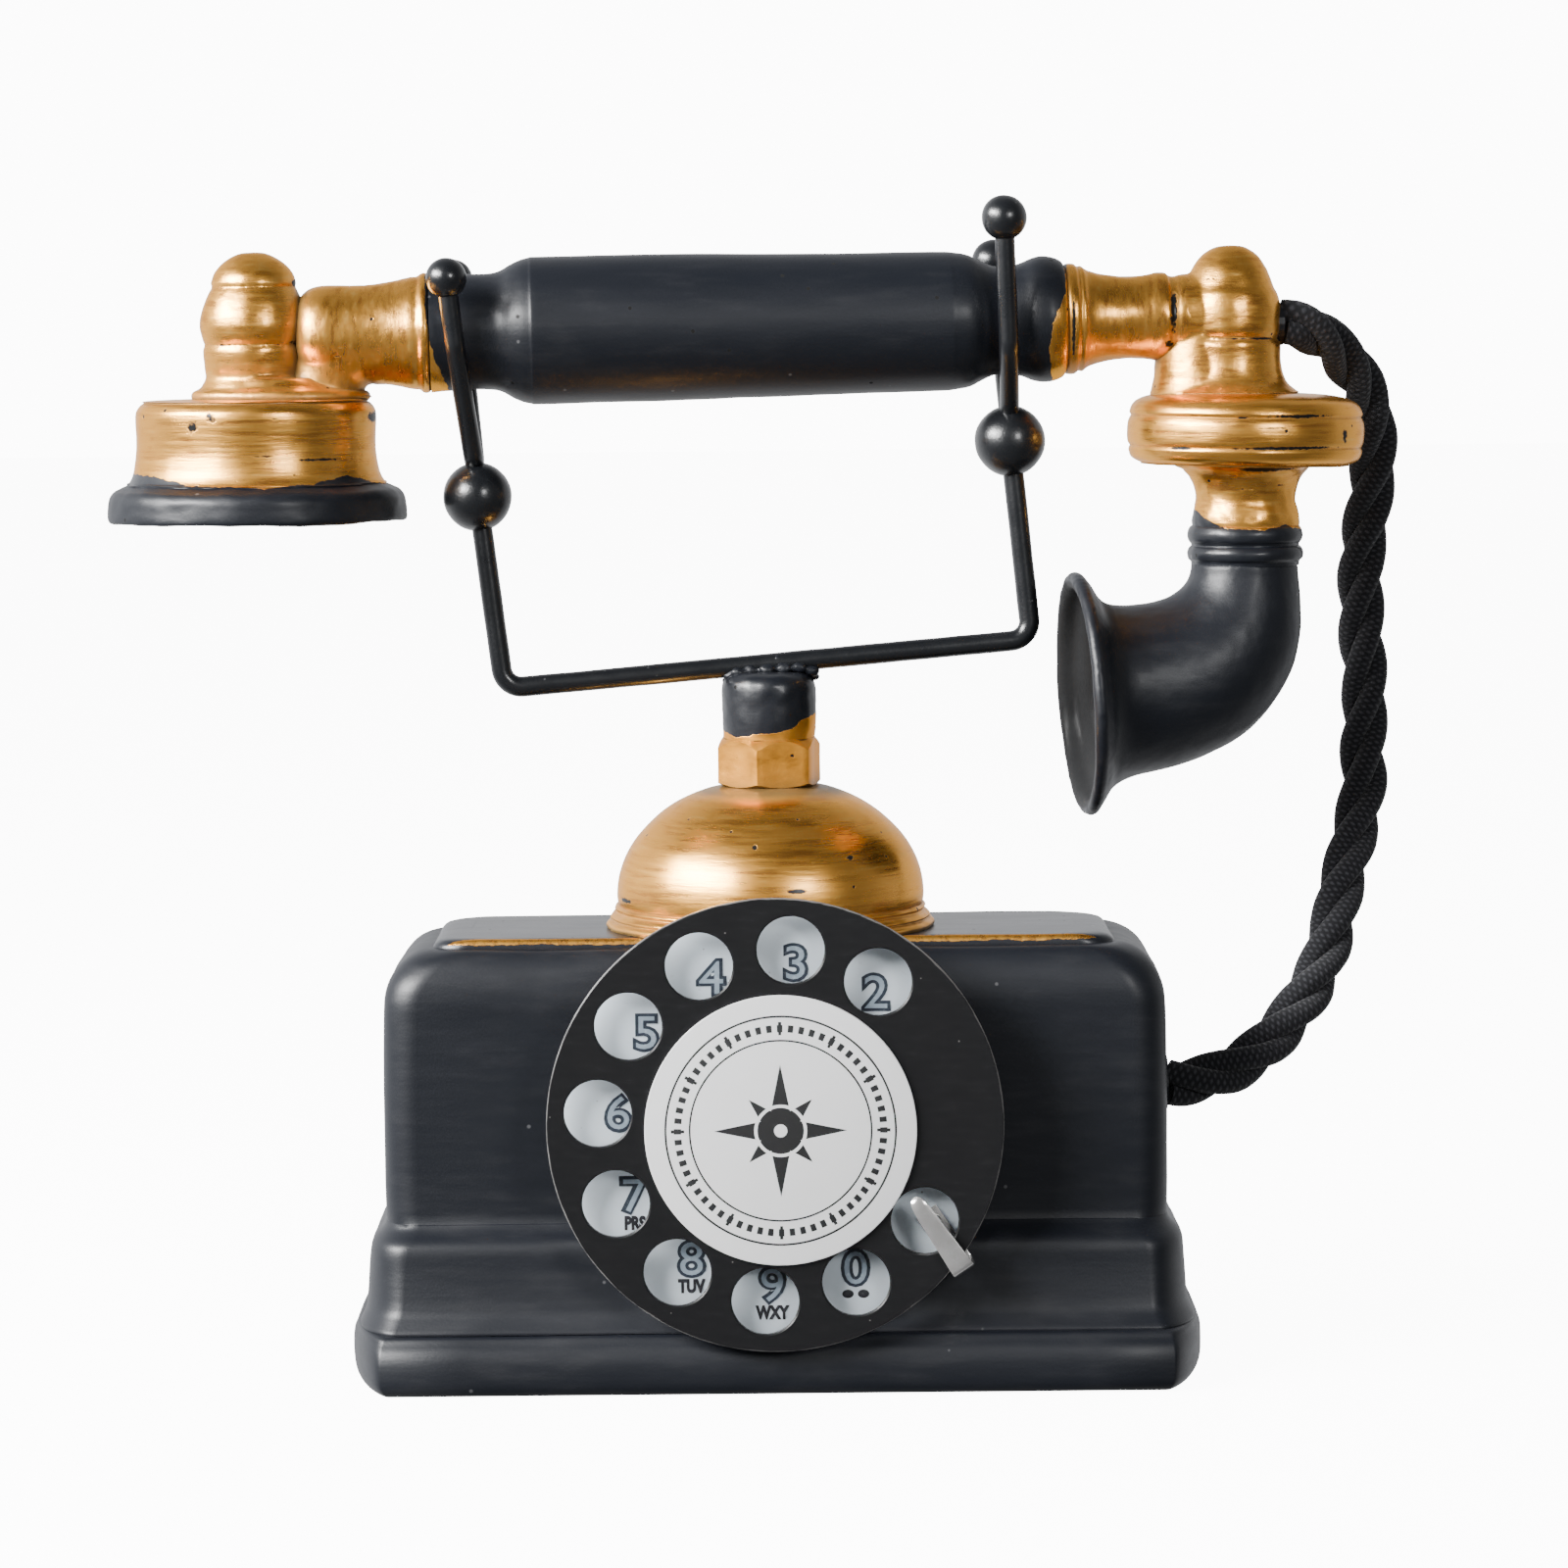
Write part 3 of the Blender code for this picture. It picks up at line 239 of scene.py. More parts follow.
def cast(obj, amount, size, seed=0.0):
    """Uneven cast surface: vertices move along their normals by smooth noise, the foot stays flat."""
    mesh = obj.data
    normals = [v.normal.copy() for v in mesh.vertices]
    for v, n in zip(mesh.vertices, normals):
        p = v.co / (size * MM) + Vector((seed, seed * 0.7, -seed))
        value = noise.noise(p) + 0.45 * noise.noise(p * 2.7) + 0.2 * noise.noise(p * 7.1)
        above = min(1.0, max(0.0, v.co.z / (3 * MM)))
        v.co += n * (value * amount * above * MM)
    mesh.update()


def melt(obj, voxel, smooth):
    """Melts overlapping shapes into one skin with soft inner corners."""
    remesh = obj.modifiers.new("skin", "REMESH")
    remesh.mode, remesh.voxel_size = "VOXEL", voxel * MM
    soften = obj.modifiers.new("soften", "SMOOTH")
    soften.factor, soften.iterations = 0.5, smooth
    bpy.context.view_layer.update()
    made = bpy.data.meshes.new_from_object(
        obj.evaluated_get(bpy.context.evaluated_depsgraph_get())
    )
    obj.modifiers.clear()
    obj.data = made


def piece(name, shape, look, body, nodes=(), move=None, skin=None,
          uneven=None, smooth=True, corner=40):
    """One visible piece: its shape, material, CAD body and the CAD nodes it stands for.

    skin is what melt takes, uneven what cast takes, corner the angle of a sharp edge.
    """
    verts, faces = shape
    mesh = bpy.data.meshes.new(name)
    bm = bmesh.new()
    points = [bm.verts.new(((move @ v) if move else v) * MM) for v in verts]
    for face in faces:
        bm.faces.new([points[i] for i in face])
    bmesh.ops.recalc_face_normals(bm, faces=bm.faces)
    bm.to_mesh(mesh)
    bm.free()
    obj = placed(name, mesh)
    if skin:
        melt(obj, *skin)
    if uneven:
        cast(obj, *uneven)
    obj.data.materials.clear()
    obj.data.materials.append(look)
    if smooth:
        obj.data.shade_smooth()
        obj.data.set_sharp_from_angle(angle=math.radians(corner))
    nodes = [nodes] if isinstance(nodes, str) else list(nodes)
    if body:
        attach(obj, body)
    if nodes:
        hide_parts(*nodes)
    return obj


# Materials


class Value:
    """A number in a node tree; a sum with it makes a node."""

    def __init__(self, nodes, socket):
        self.nodes, self.socket = nodes, socket

    def __add__(self, other):
        return self.nodes.math("ADD", self, other)

    def __sub__(self, other):
        return self.nodes.math("SUBTRACT", self, other)

    def __rsub__(self, other):
        return self.nodes.math("SUBTRACT", other, self)

    def __mul__(self, other):
        return self.nodes.math("MULTIPLY", self, other)


class Nodes:
    """Short words for the nodes of a material or of the world."""

    def __init__(self, tree):
        self.tree = tree

    def node(self, kind, inputs=None, **settings):
        made = self.tree.nodes.new(kind)
        for key, value in settings.items():
            setattr(made, key, value)
        for key, value in (inputs or {}).items():
            self.put(made.inputs[key], value)
        return made

    def put(self, socket, value):
        """Links a value to a socket, or sets the socket to a number, vector or colour."""
        if isinstance(value, Value):
            value = value.socket
        if isinstance(value, bpy.types.NodeSocket):
            self.tree.links.new(value, socket)
        elif isinstance(value, tuple) and len(value) == 3 and socket.type == "RGBA":
            socket.default_value = (*value, 1)
        else:
            socket.default_value = value

    def split(self, vector):
        parts = self.node("ShaderNodeSeparateXYZ", {0: vector})
        return [Value(self, part) for part in parts.outputs]

    def math(self, operation, *values):
        made = self.node("ShaderNodeMath", dict(enumerate(values)), operation=operation)
        return Value(self, made.outputs[0])

    def most(self, *values):
        """The largest of some values."""
        top = values[0]
        for value in values[1:]:
            top = self.math("MAXIMUM", top, value)
        return top

    def distance(self, a, b):
        return self.math("SQRT", a * a + b * b)

    def vector(self, operation, a, b=(0, 0, 0)):
        """A number worked out from one or two vectors."""
        made = self.node("ShaderNodeVectorMath", {0: a, 1: b}, operation=operation)
        return Value(self, made.outputs["Value"])

    def step(self, value, low, high):
        """0 below low, 1 above high; low above high turns it round."""
        turned = low > high
        made = self.node("ShaderNodeMapRange", {
            "Value": value, "From Min": min(low, high), "From Max": max(low, high),
            "To Min": float(turned), "To Max": float(not turned),
        }, interpolation_type="SMOOTHSTEP")
        return Value(self, made.outputs["Result"])

    def mix(self, share, a, b, blend="MIX"):
        """A colour between two colours."""
        made = self.node("ShaderNodeMix", data_type="RGBA", blend_type=blend)
        for index, value in ((0, share), (6, a), (7, b)):
            self.put(made.inputs[index], value)
        return Value(self, made.outputs[2])

    def between(self, share, a, b):
        """A number between two numbers."""
        made = self.node("ShaderNodeMix", {0: share, 2: a, 3: b}, data_type="FLOAT")
        return Value(self, made.outputs[0])

    def ramp(self, value, points, tint=WHITE):
        """A broken line through (value, grey) points, all from 0 to 1."""
        made = self.node("ShaderNodeValToRGB", {0: value})
        elements = made.color_ramp.elements
        for i, (spot, grey) in enumerate(points):
            element = elements[i] if i < 2 else elements.new(spot)
            element.position, element.color = spot, (*(grey * t for t in tint), 1)
        return Value(self, made.outputs[0])

    def graph(self, value, points):
        """A broken line through (value, result) points."""
        xs, ys = zip(*points)
        low, high, floor, top = xs[0], xs[-1], min(ys), max(ys)
        scaled = [((x - low) / (high - low), (y - floor) / (top - floor)) for x, y in points]
        share = self.math("DIVIDE", value - low, high - low)
        return self.ramp(share, scaled) * (top - floor) + floor


class Look(Nodes):
    """A material whose textures lie in the piece's own space."""

    def __init__(self, name):
        self.material = bpy.data.materials.new(name)
        self.material.use_nodes = True
        super().__init__(self.material.node_tree)
        self.shader = self.tree.nodes["Principled BSDF"]
        coords = self.node("ShaderNodeTexCoord").outputs["Object"]
        self.place = self.scaled(coords, (1000, 1000, 1000))
        self.x, self.y, self.z = self.split(self.place)

    def finished(self, **values):
        """The material with its shader's inputs filled in."""
        for key, value in values.items():
            self.put(self.shader.inputs[key.replace("_", " ")], value)
        return self.material

    def scaled(self, vector, scale, shift=(0, 0, 0)):
        made = self.node("ShaderNodeVectorMath", {0: vector, 1: scale, 2: shift},
                         operation="MULTIPLY_ADD")
        return made.outputs[0]

    def spread(self, size, seed, stretch=(1, 1, 1)):
        """The place in pattern sizes, moved by the seed."""
        return self.scaled(self.place, [s / size for s in stretch], (seed, seed, seed))

    def noise(self, size, detail=3.0, stretch=(1, 1, 1), seed=0.0, rough=0.55):
        made = self.node("ShaderNodeTexNoise", {
            "Vector": self.spread(size, seed, stretch), "Scale": 1.0, "Detail": detail,
            "Roughness": rough,
        })
        return Value(self, made.outputs["Fac"])

    def cells(self, size, seed):
        """Distance from the nearest of scattered points, in cell sizes."""
        made = self.node("ShaderNodeTexVoronoi", {"Vector": self.spread(size, seed), "Scale": 1.0})
        return Value(self, made.outputs["Distance"])

    def spot(self, centre, radii):
        """1 inside an oval patch round a point, with a wavering edge."""
        shift = [-c / r for c, r in zip(centre, radii)]
        far = self.vector("LENGTH", self.scaled(self.place, [1 / r for r in radii], shift))
        wobble = self.noise(0.8, 2.0, seed=centre[0])
        return self.step(far + (wobble - 0.5) * 1.2, 1.15, 0.80)

    def bump(self, height, distance, strength, under=None):
        made = self.node("ShaderNodeBump", {
            "Distance": distance * MM, "Strength": strength, "Height": height,
        })
        if under:
            self.put(made.inputs["Normal"], under)
        return made.outputs["Normal"]


def black_parts(look):
    """Colour, roughness and bump height of satin black paint."""
    broad = look.noise(14, 3.0, seed=3.1)
    smear = look.noise(3.0, 4.0, stretch=(0.25, 0.6, 1.4), seed=7.7)
    fine = look.noise(0.45, 2.0, seed=1.3)
    specks = look.step(look.cells(7.5, seed=2.2), 0.055, 0.03)
    colour = look.mix(look.step(broad + smear, 0.98, 1.45), BLACK, BLACK_WORN)
    colour = look.mix(specks * 0.35, colour, (0.25, 0.25, 0.26))
    return colour, smear * 0.14 + 0.38, fine * 0.35 + smear


def gold_parts(look, brush):
    """Colour, roughness and bump height of brushed gold paint."""
    strokes = look.noise(1.1, 3.0, stretch=brush, seed=5.3, rough=0.6)
    broad = look.noise(7, 2.0, seed=9.9)
    grain = look.noise(0.30, 2.0, seed=4.4)
    deep = look.step(broad * 0.6 + strokes, 0.80, 0.52)
    pale = look.step(grain * 0.3 + strokes, 0.70, 0.92)
    colour = look.mix(deep * 0.75, GOLD, GOLD_DEEP)
    colour = look.mix(pale * 0.6, colour, GOLD_PALE)
    return colour, strokes * 0.27 + 0.155, grain * 0.30 + strokes


def painted(name, brush, edge=None, marks=(), thin=0.0, grime_and_shade=None, chips=(), matt=0.0,
            rich=0.0, coat=0.5):
    """Gold paint over black paint.

    edge gives millimetres into the gold, marks are bare spots, thin is how much the gold
    has rubbed off, grime is a mask of painted shade at joints, chips are spots without any paint.
    """
    look = Look(name)
    gold_colour, gold_rough, gold_height = gold_parts(look, brush)
    black_colour, black_rough, black_height = black_parts(look)
    pits = look.step(look.cells(5.2, seed=1.7), 0.075, 0.05)
    holes = look.most(pits, *(look.spot(*mark) for mark in marks))
    bare = holes
    if thin:
        ragged = look.noise(2.2, 4.0, stretch=[0.5 + s for s in brush], seed=12.0, rough=0.7)
        bare = look.most(bare, look.step(ragged, 0.80 - thin, 0.83 - thin))
    if edge:
        ragged = look.noise(1.8, 3.0, seed=6.6) - 0.5
        bare = look.most(bare, look.step(ragged + edge(look), 0.06, -0.06))
    # Painted shade: in creases (ambient occlusion) and where grime says, the gold turns dark brown, less
    # metallic and rougher
    crease = look.node("ShaderNodeAmbientOcclusion", {"Distance": 4.5 * MM}, samples=6)
    dull = look.step(crease.outputs["AO"], 0.94, 0.5)
    if grime_and_shade:
        dull = look.most(dull, grime_and_shade(look))
    dull = dull * 0.92
    gold_colour = look.mix(dull, look.mix(rich, gold_colour, GOLD_RICH), GOLD_SHADE)
    black_colour = look.mix(holes, black_colour, (0.001, 0.001, 0.001))
    for chip in chips:
        black_colour = look.mix(look.spot(*chip), black_colour, BARE_RESIN)
    gilt = 1.0 - bare
    paint = look.bump(look.between(bare, gold_height, black_height), 0.10, 0.55)
    return look.finished(
        Base_Color=look.mix(bare, gold_colour, black_colour),
        Metallic=gilt * (dull * -0.75 + 0.96),
        Roughness=look.between(bare, dull * 0.45 + gold_rough + matt, holes * 0.5 + black_rough),
        Specular_Tint=look.mix(bare, GOLD_EDGE, WHITE),
        Specular_IOR_Level=BLACK_GLOSS * (1 - 0.45 * coat),
        Coat_Weight=coat, Coat_Roughness=0.25,
        Normal=look.bump(gilt, 0.06, 0.8, paint),
    )


def satin_black(name, dusty=None):
    """Satin black paint; dusty gives the share of dull paint, as in a hollow."""
    look = Look(name)
    colour, rough, height = black_parts(look)
    if dusty:
        share = dusty(look)
        colour = look.mix(share, colour, (0.010, 0.0105, 0.0115))
        rough = share * 0.45 + rough
    return look.finished(Base_Color=colour, Roughness=rough, Normal=look.bump(height, 0.10, 0.5),
                         Specular_IOR_Level=BLACK_GLOSS, Coat_Weight=0.10, Coat_Roughness=0.30)


def gloss_black(name):
    look = Look(name)
    fine = look.noise(0.5, 3.0, seed=2.0)
    broad = look.noise(5, 2.0, seed=8.0)
    specks = look.step(look.cells(3.2, seed=5.0), 0.07, 0.04)
    return look.finished(
        Base_Color=look.mix(specks * 0.4, (0.008, 0.009, 0.011), (0.18, 0.18, 0.19)),
        Roughness=broad * 0.22 + 0.20, Normal=look.bump(fine + broad, 0.10, 0.35),
        Coat_Weight=0.4, Coat_Roughness=0.16,
    )


def metal(name, colour, dark, rough=0.25, stretch=(1, 1, 1), share=1.0):
    look = Look(name)
    scratch = look.noise(0.5, 4.0, stretch=stretch, seed=1.0, rough=0.7)
    cloud = look.noise(3.0, 3.0, seed=4.0)
    return look.finished(
        Base_Color=look.mix(look.step(scratch + cloud, 1.3, 0.75), colour, dark),
        Metallic=share, Roughness=scratch * 0.25 + (rough - 0.1),
        Normal=look.bump(scratch, 0.02, 0.25),
    )


def felt(name):
    look = Look(name)
    fibres = look.noise(0.35, 5.0, stretch=(1, 0.3, 1), seed=3.0, rough=0.75)
    return look.finished(
        Base_Color=look.mix(fibres, (0.012, 0.012, 0.013), (0.045, 0.045, 0.047)),
        Roughness=0.95, Sheen_Weight=0.4, Normal=look.bump(fibres, 0.25, 0.9),
    )


def textile(name):
    """Black braided yarn; the strand's own map runs round it and along it."""
    look = Look(name)
    u, v, _ = look.split(look.node("ShaderNodeTexCoord").outputs["UV"])
    right, left = (
        look.math("SINE", (u * threads + v * 1.05) * math.tau) * 0.5 + 0.5
        for threads in (6.0, -6.0)
    )
    tone = look.noise(0.25, 4.0, seed=3.0, rough=0.8) * 0.5 + right * left
    return look.finished(
        Base_Color=look.mix(look.step(tone, 0.2, 1.2), (0.0085, 0.0088, 0.0108),
                            (0.044, 0.0445, 0.051)),
        Roughness=0.95, Sheen_Weight=0.14, Sheen_Roughness=0.5, Specular_IOR_Level=0.3,
        Normal=look.bump(tone, 0.18, 0.8),
    )


# Cord

LAY = 31.0
STRAND_RADIUS = STRAND_OFFSET = 2.12
STRAND_SIDES = 16
CORD_ROUTE = [
    (88.0, 3.9, 176.8), (90.0, 4.0, 176.8), (93.4, 6.1, 175.4), (97.7, 10.6, 172.2),
    (101.9, 15.6, 167.4), (104.5, 20.3, 161.3), (105.7, 24.2, 154.2), (105.2, 26.8, 145.8),
    (104.2, 28.6, 137.2), (104.0, 29.8, 128.5), (104.4, 30.4, 119.8), (104.9, 30.4, 111.1),
    (104.5, 29.8, 103.0), (104.4, 28.6, 95.6), (102.9, 26.6, 88.3), (101.1, 24.2, 82.2),
    (99.3, 21.4, 76.4), (97.8, 18.6, 70.7), (95.4, 15.4, 64.7), (92.6, 12.2, 60.2),
    (88.6, 9.4, 55.6), (84.8, 7.0, 52.0), (79.7, 5.0, 48.9), (75.4, 3.8, 47.4),
    (70.9, 3.0, 46.65), (67.9, 3.0, 46.6),
]


def even_points(points, spacing):
    """The same line with points at an even spacing."""
    lengths = [0.0]
    for a, b in zip(points, points[1:]):
        lengths.append(lengths[-1] + (b - a).length)
    count = max(2, round(lengths[-1] / spacing))
    out, k = [], 0
    for i in range(count + 1):
        want = lengths[-1] * i / count
        while k < len(points) - 2 and lengths[k + 1] < want:
            k += 1
        t = (want - lengths[k]) / (lengths[k + 1] - lengths[k])
        out.append(points[k].lerp(points[k + 1], t))
    return out


def build_cord():
    route = even_points(catmull(CORD_ROUTE, 8), 0.8)
    spacing = (route[1] - route[0]).length
    ahead, across = directions(route)
    shapes, maps = [], []
    for strand in range(3):
        line = []
        for i, (p, a, s) in enumerate(zip(route, ahead, across)):
            turn = math.tau * (i * spacing / LAY + strand / 3)
            line.append(p + STRAND_OFFSET * (math.cos(turn) * s + math.sin(turn) * a.cross(s)))
        radii = [STRAND_RADIUS * (1 + 0.03 * noise.noise(p * 0.35)) for p in line]
        shapes.append(tube(line, radii, STRAND_SIDES))
        maps += [(k / STRAND_SIDES, i * spacing) for i in range(len(line)) for k in range(STRAND_SIDES)]
    obj = piece("cord_braid", joined(*shapes), textile("cord_textile"), None, "cord")
    layer = obj.data.uv_layers.new(name="weave")
    for polygon in obj.data.polygons:
        corners = [obj.data.loops[i].vertex_index for i in polygon.loop_indices]
        wraps = max(maps[c][0] for c in corners) - min(maps[c][0] for c in corners) > 0.5
        for i, c in zip(polygon.loop_indices, corners):
            u, v = maps[c]
            layer.data[i].uv = (u + 1 if wraps and u < 0.5 and len(corners) == 4 else u, v)
    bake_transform(obj)
    [p * MM for p in route]


# Base


def plan(half_x, half_y, corner_x, corner_y, z, bulge=2.0):
    """A rounded rectangle seen from above, with points along its straight sides too."""
    segments, straight = 12, 10
    points = []
    for quarter, (sx, sy) in enumerate(((1, 1), (-1, 1), (-1, -1), (1, -1))):
        for i in range(segments + 1):
            a = math.pi / 2 * i / segments
            u, v = max(math.cos(a), 0) ** (2 / bulge), max(math.sin(a), 0) ** (2 / bulge)
            if quarter % 2:
                u, v = v, u
            points.append(Vector((sx * (half_x - corner_x + corner_x * u),
                                  sy * (half_y - corner_y + corner_y * v), z)))
    out = []
    for i, p in enumerate(points):
        out.append(p)
        if i % (segments + 1) == segments:
            after = points[(i + 1) % len(points)]
            out += [p.lerp(after, k / straight) for k in range(1, straight)]
    return out


def plan_loft(steps):
    """Smooth rings through (z, half x, half y, corner x, corner y, bulge) steps."""
    firsts, lasts = (catmull([step[k:k + 3] for step in steps], 3) for k in (0, 3))
    return [plan(a.y, a.z, b.x, b.y, a.x, b.z) for a, b in zip(firsts, lasts)]


def build_base():
    look = satin_black("base_black")
    foot = [
        (0.3, 71.2, 33.2, 6.4, 25, 1.5), (1.0, 71.9, 33.7, 6.4, 26, 1.5),
        (2.4, 72.3, 34.0, 6.4, 26, 1.5), (5.4, 72.4, 33.9, 6.4, 26, 1.5),
        (7.6, 72.2, 33.3, 6.3, 25, 1.55), (8.9, 71.7, 32.5, 6.1, 23, 1.6),
        (9.75, 71.3, 32.0, 6, 21, 1.7), (10.05, 70.8, 31.4, 6, 19, 1.7),
    ]
    pocket = [plan(64.3, 26.3, 4, 4, z, 2) for z in (3.8, 0.3)]
    piece("plinth_casting", loft(pocket + plan_loft(foot)), look, "base", "plinth",
          uneven=(0.22, 26, 1.0))
    steps = [
        (10.1, 70.6, 31.0, 7, 15, 1.8), (10.6, 70.6, 30.9, 7, 15, 1.8), (12.0, 70.0, 30.0, 7, 14, 1.8),
        (14, 69.4, 29.1, 7, 13, 1.8), (20, 69.0, 28.1, 7, 12, 1.9),
        (23.6, 68.6, 27.7, 7, 11, 2.0), (25.2, 67.8, 26.9, 7, 10, 2.0),
        (26.4, 66.7, 25.4, 7, 9, 2.0), (27.6, 66.1, 24.3, 6.4, 8, 2.0),
        (29.4, 66, 24.0, 6, 7, 2.0), (45, 66, 24, 6, 6, 2.0), (60.0, 65.8, 23.9, 6, 6, 2.0),
        (64.0, 65.7, 23.9, 6, 6, 2.0),
    ]
    for i in range(1, 9):
        a = math.pi / 2 * i / 8
        fall, corner = 1 - math.cos(a), 6 + 1.5 * math.sin(a)
        steps.append((64 + 9.4 * math.sin(a), 66 - 8.4 * fall - 0.3, 24 - 4.4 * fall - 0.1,
                      corner, corner, 2.0))
    piece("housing_casting", loft(plan_loft(steps)), look, "base", "housing",
          uneven=(0.25, 24, 4.0))

    def trim(look):
        """The gold line along the front edge, between two heights."""
        front = look.step(look.y, -16.4, -17.0)
        gaps = look.noise(12, 3, seed=21) * 0.75
        inside = look.math("MINIMUM", look.z - 74.35, 74.93 - look.z) - gaps
        return front * 5.2 + (inside - 4.6)

    rings = [plan(57.6 - d, 18 - d * 0.25, 6, 5, z) for z, d in
             ((73.2, 0), (73.7, 0.15), (74.1, 0.5), (74.5, 1.1), (74.8, 2.2), (74.95, 3.6), (74.98, 6))]
    piece("top_plate_casting", loft(rings), painted("plate_trim", (1, 1, 1), trim), "base",
          "top_plate", uneven=(0.12, 12, 2.0))


def dress_inner_parts():
    """CAD nodes that keep their shape and get a better material."""
    steel = metal("screw_steel", (0.62, 0.61, 0.58), (0.35, 0.34, 0.32), 0.3)
    dressed = [
        (felt("pad_felt"), ["base_pad"]),
        (metal("cover_tin", (0.20, 0.20, 0.21), (0.08, 0.08, 0.09), 0.5), ["base_cover"]),
        (steel, [f"cover_screw_{k}" for k in (1, 2, 3, 4)]),
        (steel, ["stem_rod", "stem_nut", "dial_nut", "stop_screw", "wheel_spindle",
                 "spindle_clip", "grip_rod", "ear_stud", "mouth_stud"]),
        (metal("bush_brass", (0.72, 0.52, 0.22), (0.45, 0.30, 0.12), 0.3), ["dial_bush"]),
        (satin_black("grommet_rubber"), ["dial_cup", "cord_grommet_base", "cord_grommet_handset"]),
    ]
    for look, nodes in dressed:
        for node in nodes:
            for material_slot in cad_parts[node].material_slots:
                material_slot.material = look


def build_bell():
    # Painted shade: the dome goes dark and dull round the foot of the nut
    look = painted("bell_gold", AROUND, marks=[
        ((4.0, -25.5, 83.5), (1.6, 2, 0.35)), ((-3.0, -22, 90.5), (0.5, 1.5, 0.5)),
        ((13, -20, 88.5), (0.7, 2, 0.4)), ((-24.5, -9, 80.4), (2.2, 3, 0.4)),
    ], grime_and_shade=lambda k: k.step(k.distance(k.x - STEM_X, k.y), 15.0, 11.0))
    dome = [(0, 99.3, 0), (6.0, 99.25), (10.2, 98.7), (14.4, 97.1), (17.8, 95.1), (20.6, 92.8),
            (23.2, 89.9), (24.9, 86.9), (25.9, 83.9), (26.25, 81.2), (26.2, 79.6),
            (26.0, 78.9, 0), (24.6, 78.9, 0), (24.6, 81.0, 0), (0, 81.0, 0)]
    piece("bell_dome_gold", lathe(dome, 144), look, "base", "bell_dome", move=STEM,
          uneven=(0.12, 12, 1.0))
    ring = [(0, 79.2, 0), (25.4, 79.2, 0), (26.2, 78.9), (26.7, 78.4), (26.5, 77.9), (27.0, 77.4),
            (27.4, 76.9), (27.2, 76.5), (27.9, 76.0), (28.1, 75.5), (27.9, 75.0, 0), (0, 75.0, 0)]
    piece("bell_ring_gold", lathe(ring, 144), look, "base", "bell_base", move=STEM,
          uneven=(0.22, 4, 3.0))


def hexagon(corners, low, high, chamfer, steps=96):
    """A hexagon nut whose ends are turned to a cone, which leaves an arc on each flat."""
    flat = corners / 2 * math.cos(math.pi / 6)
    sixth = math.pi / 3
    around = [(math.tau * k / steps + sixth / 2) % sixth - sixth / 2 for k in range(steps)]
    radii = [min(flat / math.cos(a), corners / 2 * 0.985) for a in around]
    start = flat - 0.3
    rings = []
    for end, share in ((1, 0.0), (1, 0.35), (1, 0.7), (0, 0), (-1, 0.7), (-1, 0.35), (-1, 0.0)):
        ring = []
        for (c, s), r in zip(circle(steps), radii):
            z, reach = (low + high) / 2, r
            if end:
                reach = start - 0.5 + (r - start + 0.5) * (share / 0.7)
                fall = max(0.0, reach - start) * chamfer
                z = high - fall if end > 0 else low + fall * 0.4
            ring.append(Vector((reach * c, reach * s, z)))
        rings.append(ring)
    return loft(rings)


def build_stem():
    def cap_edge(look):
        line = look.graph(look.x, [(-9, 109.0), (-6.2, 107.7), (-2.1, 108.3), (2.9, 108.9),
                                   (5.4, 110.7), (7.3, 111.5), (9, 111.6)])
        return line - look.z

    # Painted shade: the nut goes dark and dull at its foot on the dome
    look = painted("nut_gold", (0.3, 0.3, 0.5), cap_edge,
                   marks=[((3.6, -8.5, 104.6), (0.5, 2, 0.35)), ((-6, -8, 104.2), (0.25, 2, 0.25))],
                   grime_and_shade=lambda k: k.step(k.z, 99.6, 98.8), matt=0.10, rich=0.7)
    piece("hex_nut_gold", hexagon(18.6, 99.0, 107.5, 1.35), look, "base", "hex_nut",
          move=STEM @ spin(47, "Z"), uneven=(0.10, 3, 1.0), corner=28)
    cap = [(0, 118.6, 0), (4.6, 118.5), (6.4, 118.1), (7.5, 117.2), (7.95, 115.8), (8.0, 113.4),
           (8.0, 110.0), (7.9, 107.3, 0), (0, 107.3, 0)]
    piece("stem_cap_black", lathe(cap), look, "base", "stem_cap", move=STEM, uneven=(0.22, 5, 6.0))


# Cradle

BAR_LEFT, BAR_RIGHT = Vector((-45.6, 0, 116.2)), Vector((44.6, 0, 123.5))
BALL_LEFT, BALL_RIGHT = Vector((-49.6, 0, 148.9)), Vector((41.1, 0, 157.4))
BALL_LEFT_R, BALL_RIGHT_R = 5.85, 6.05
WIRE_RADIUS, FORK_RADIUS = 1.75, 1.65
BAR_BEND, FORK_BEND = 3.4, 3.2


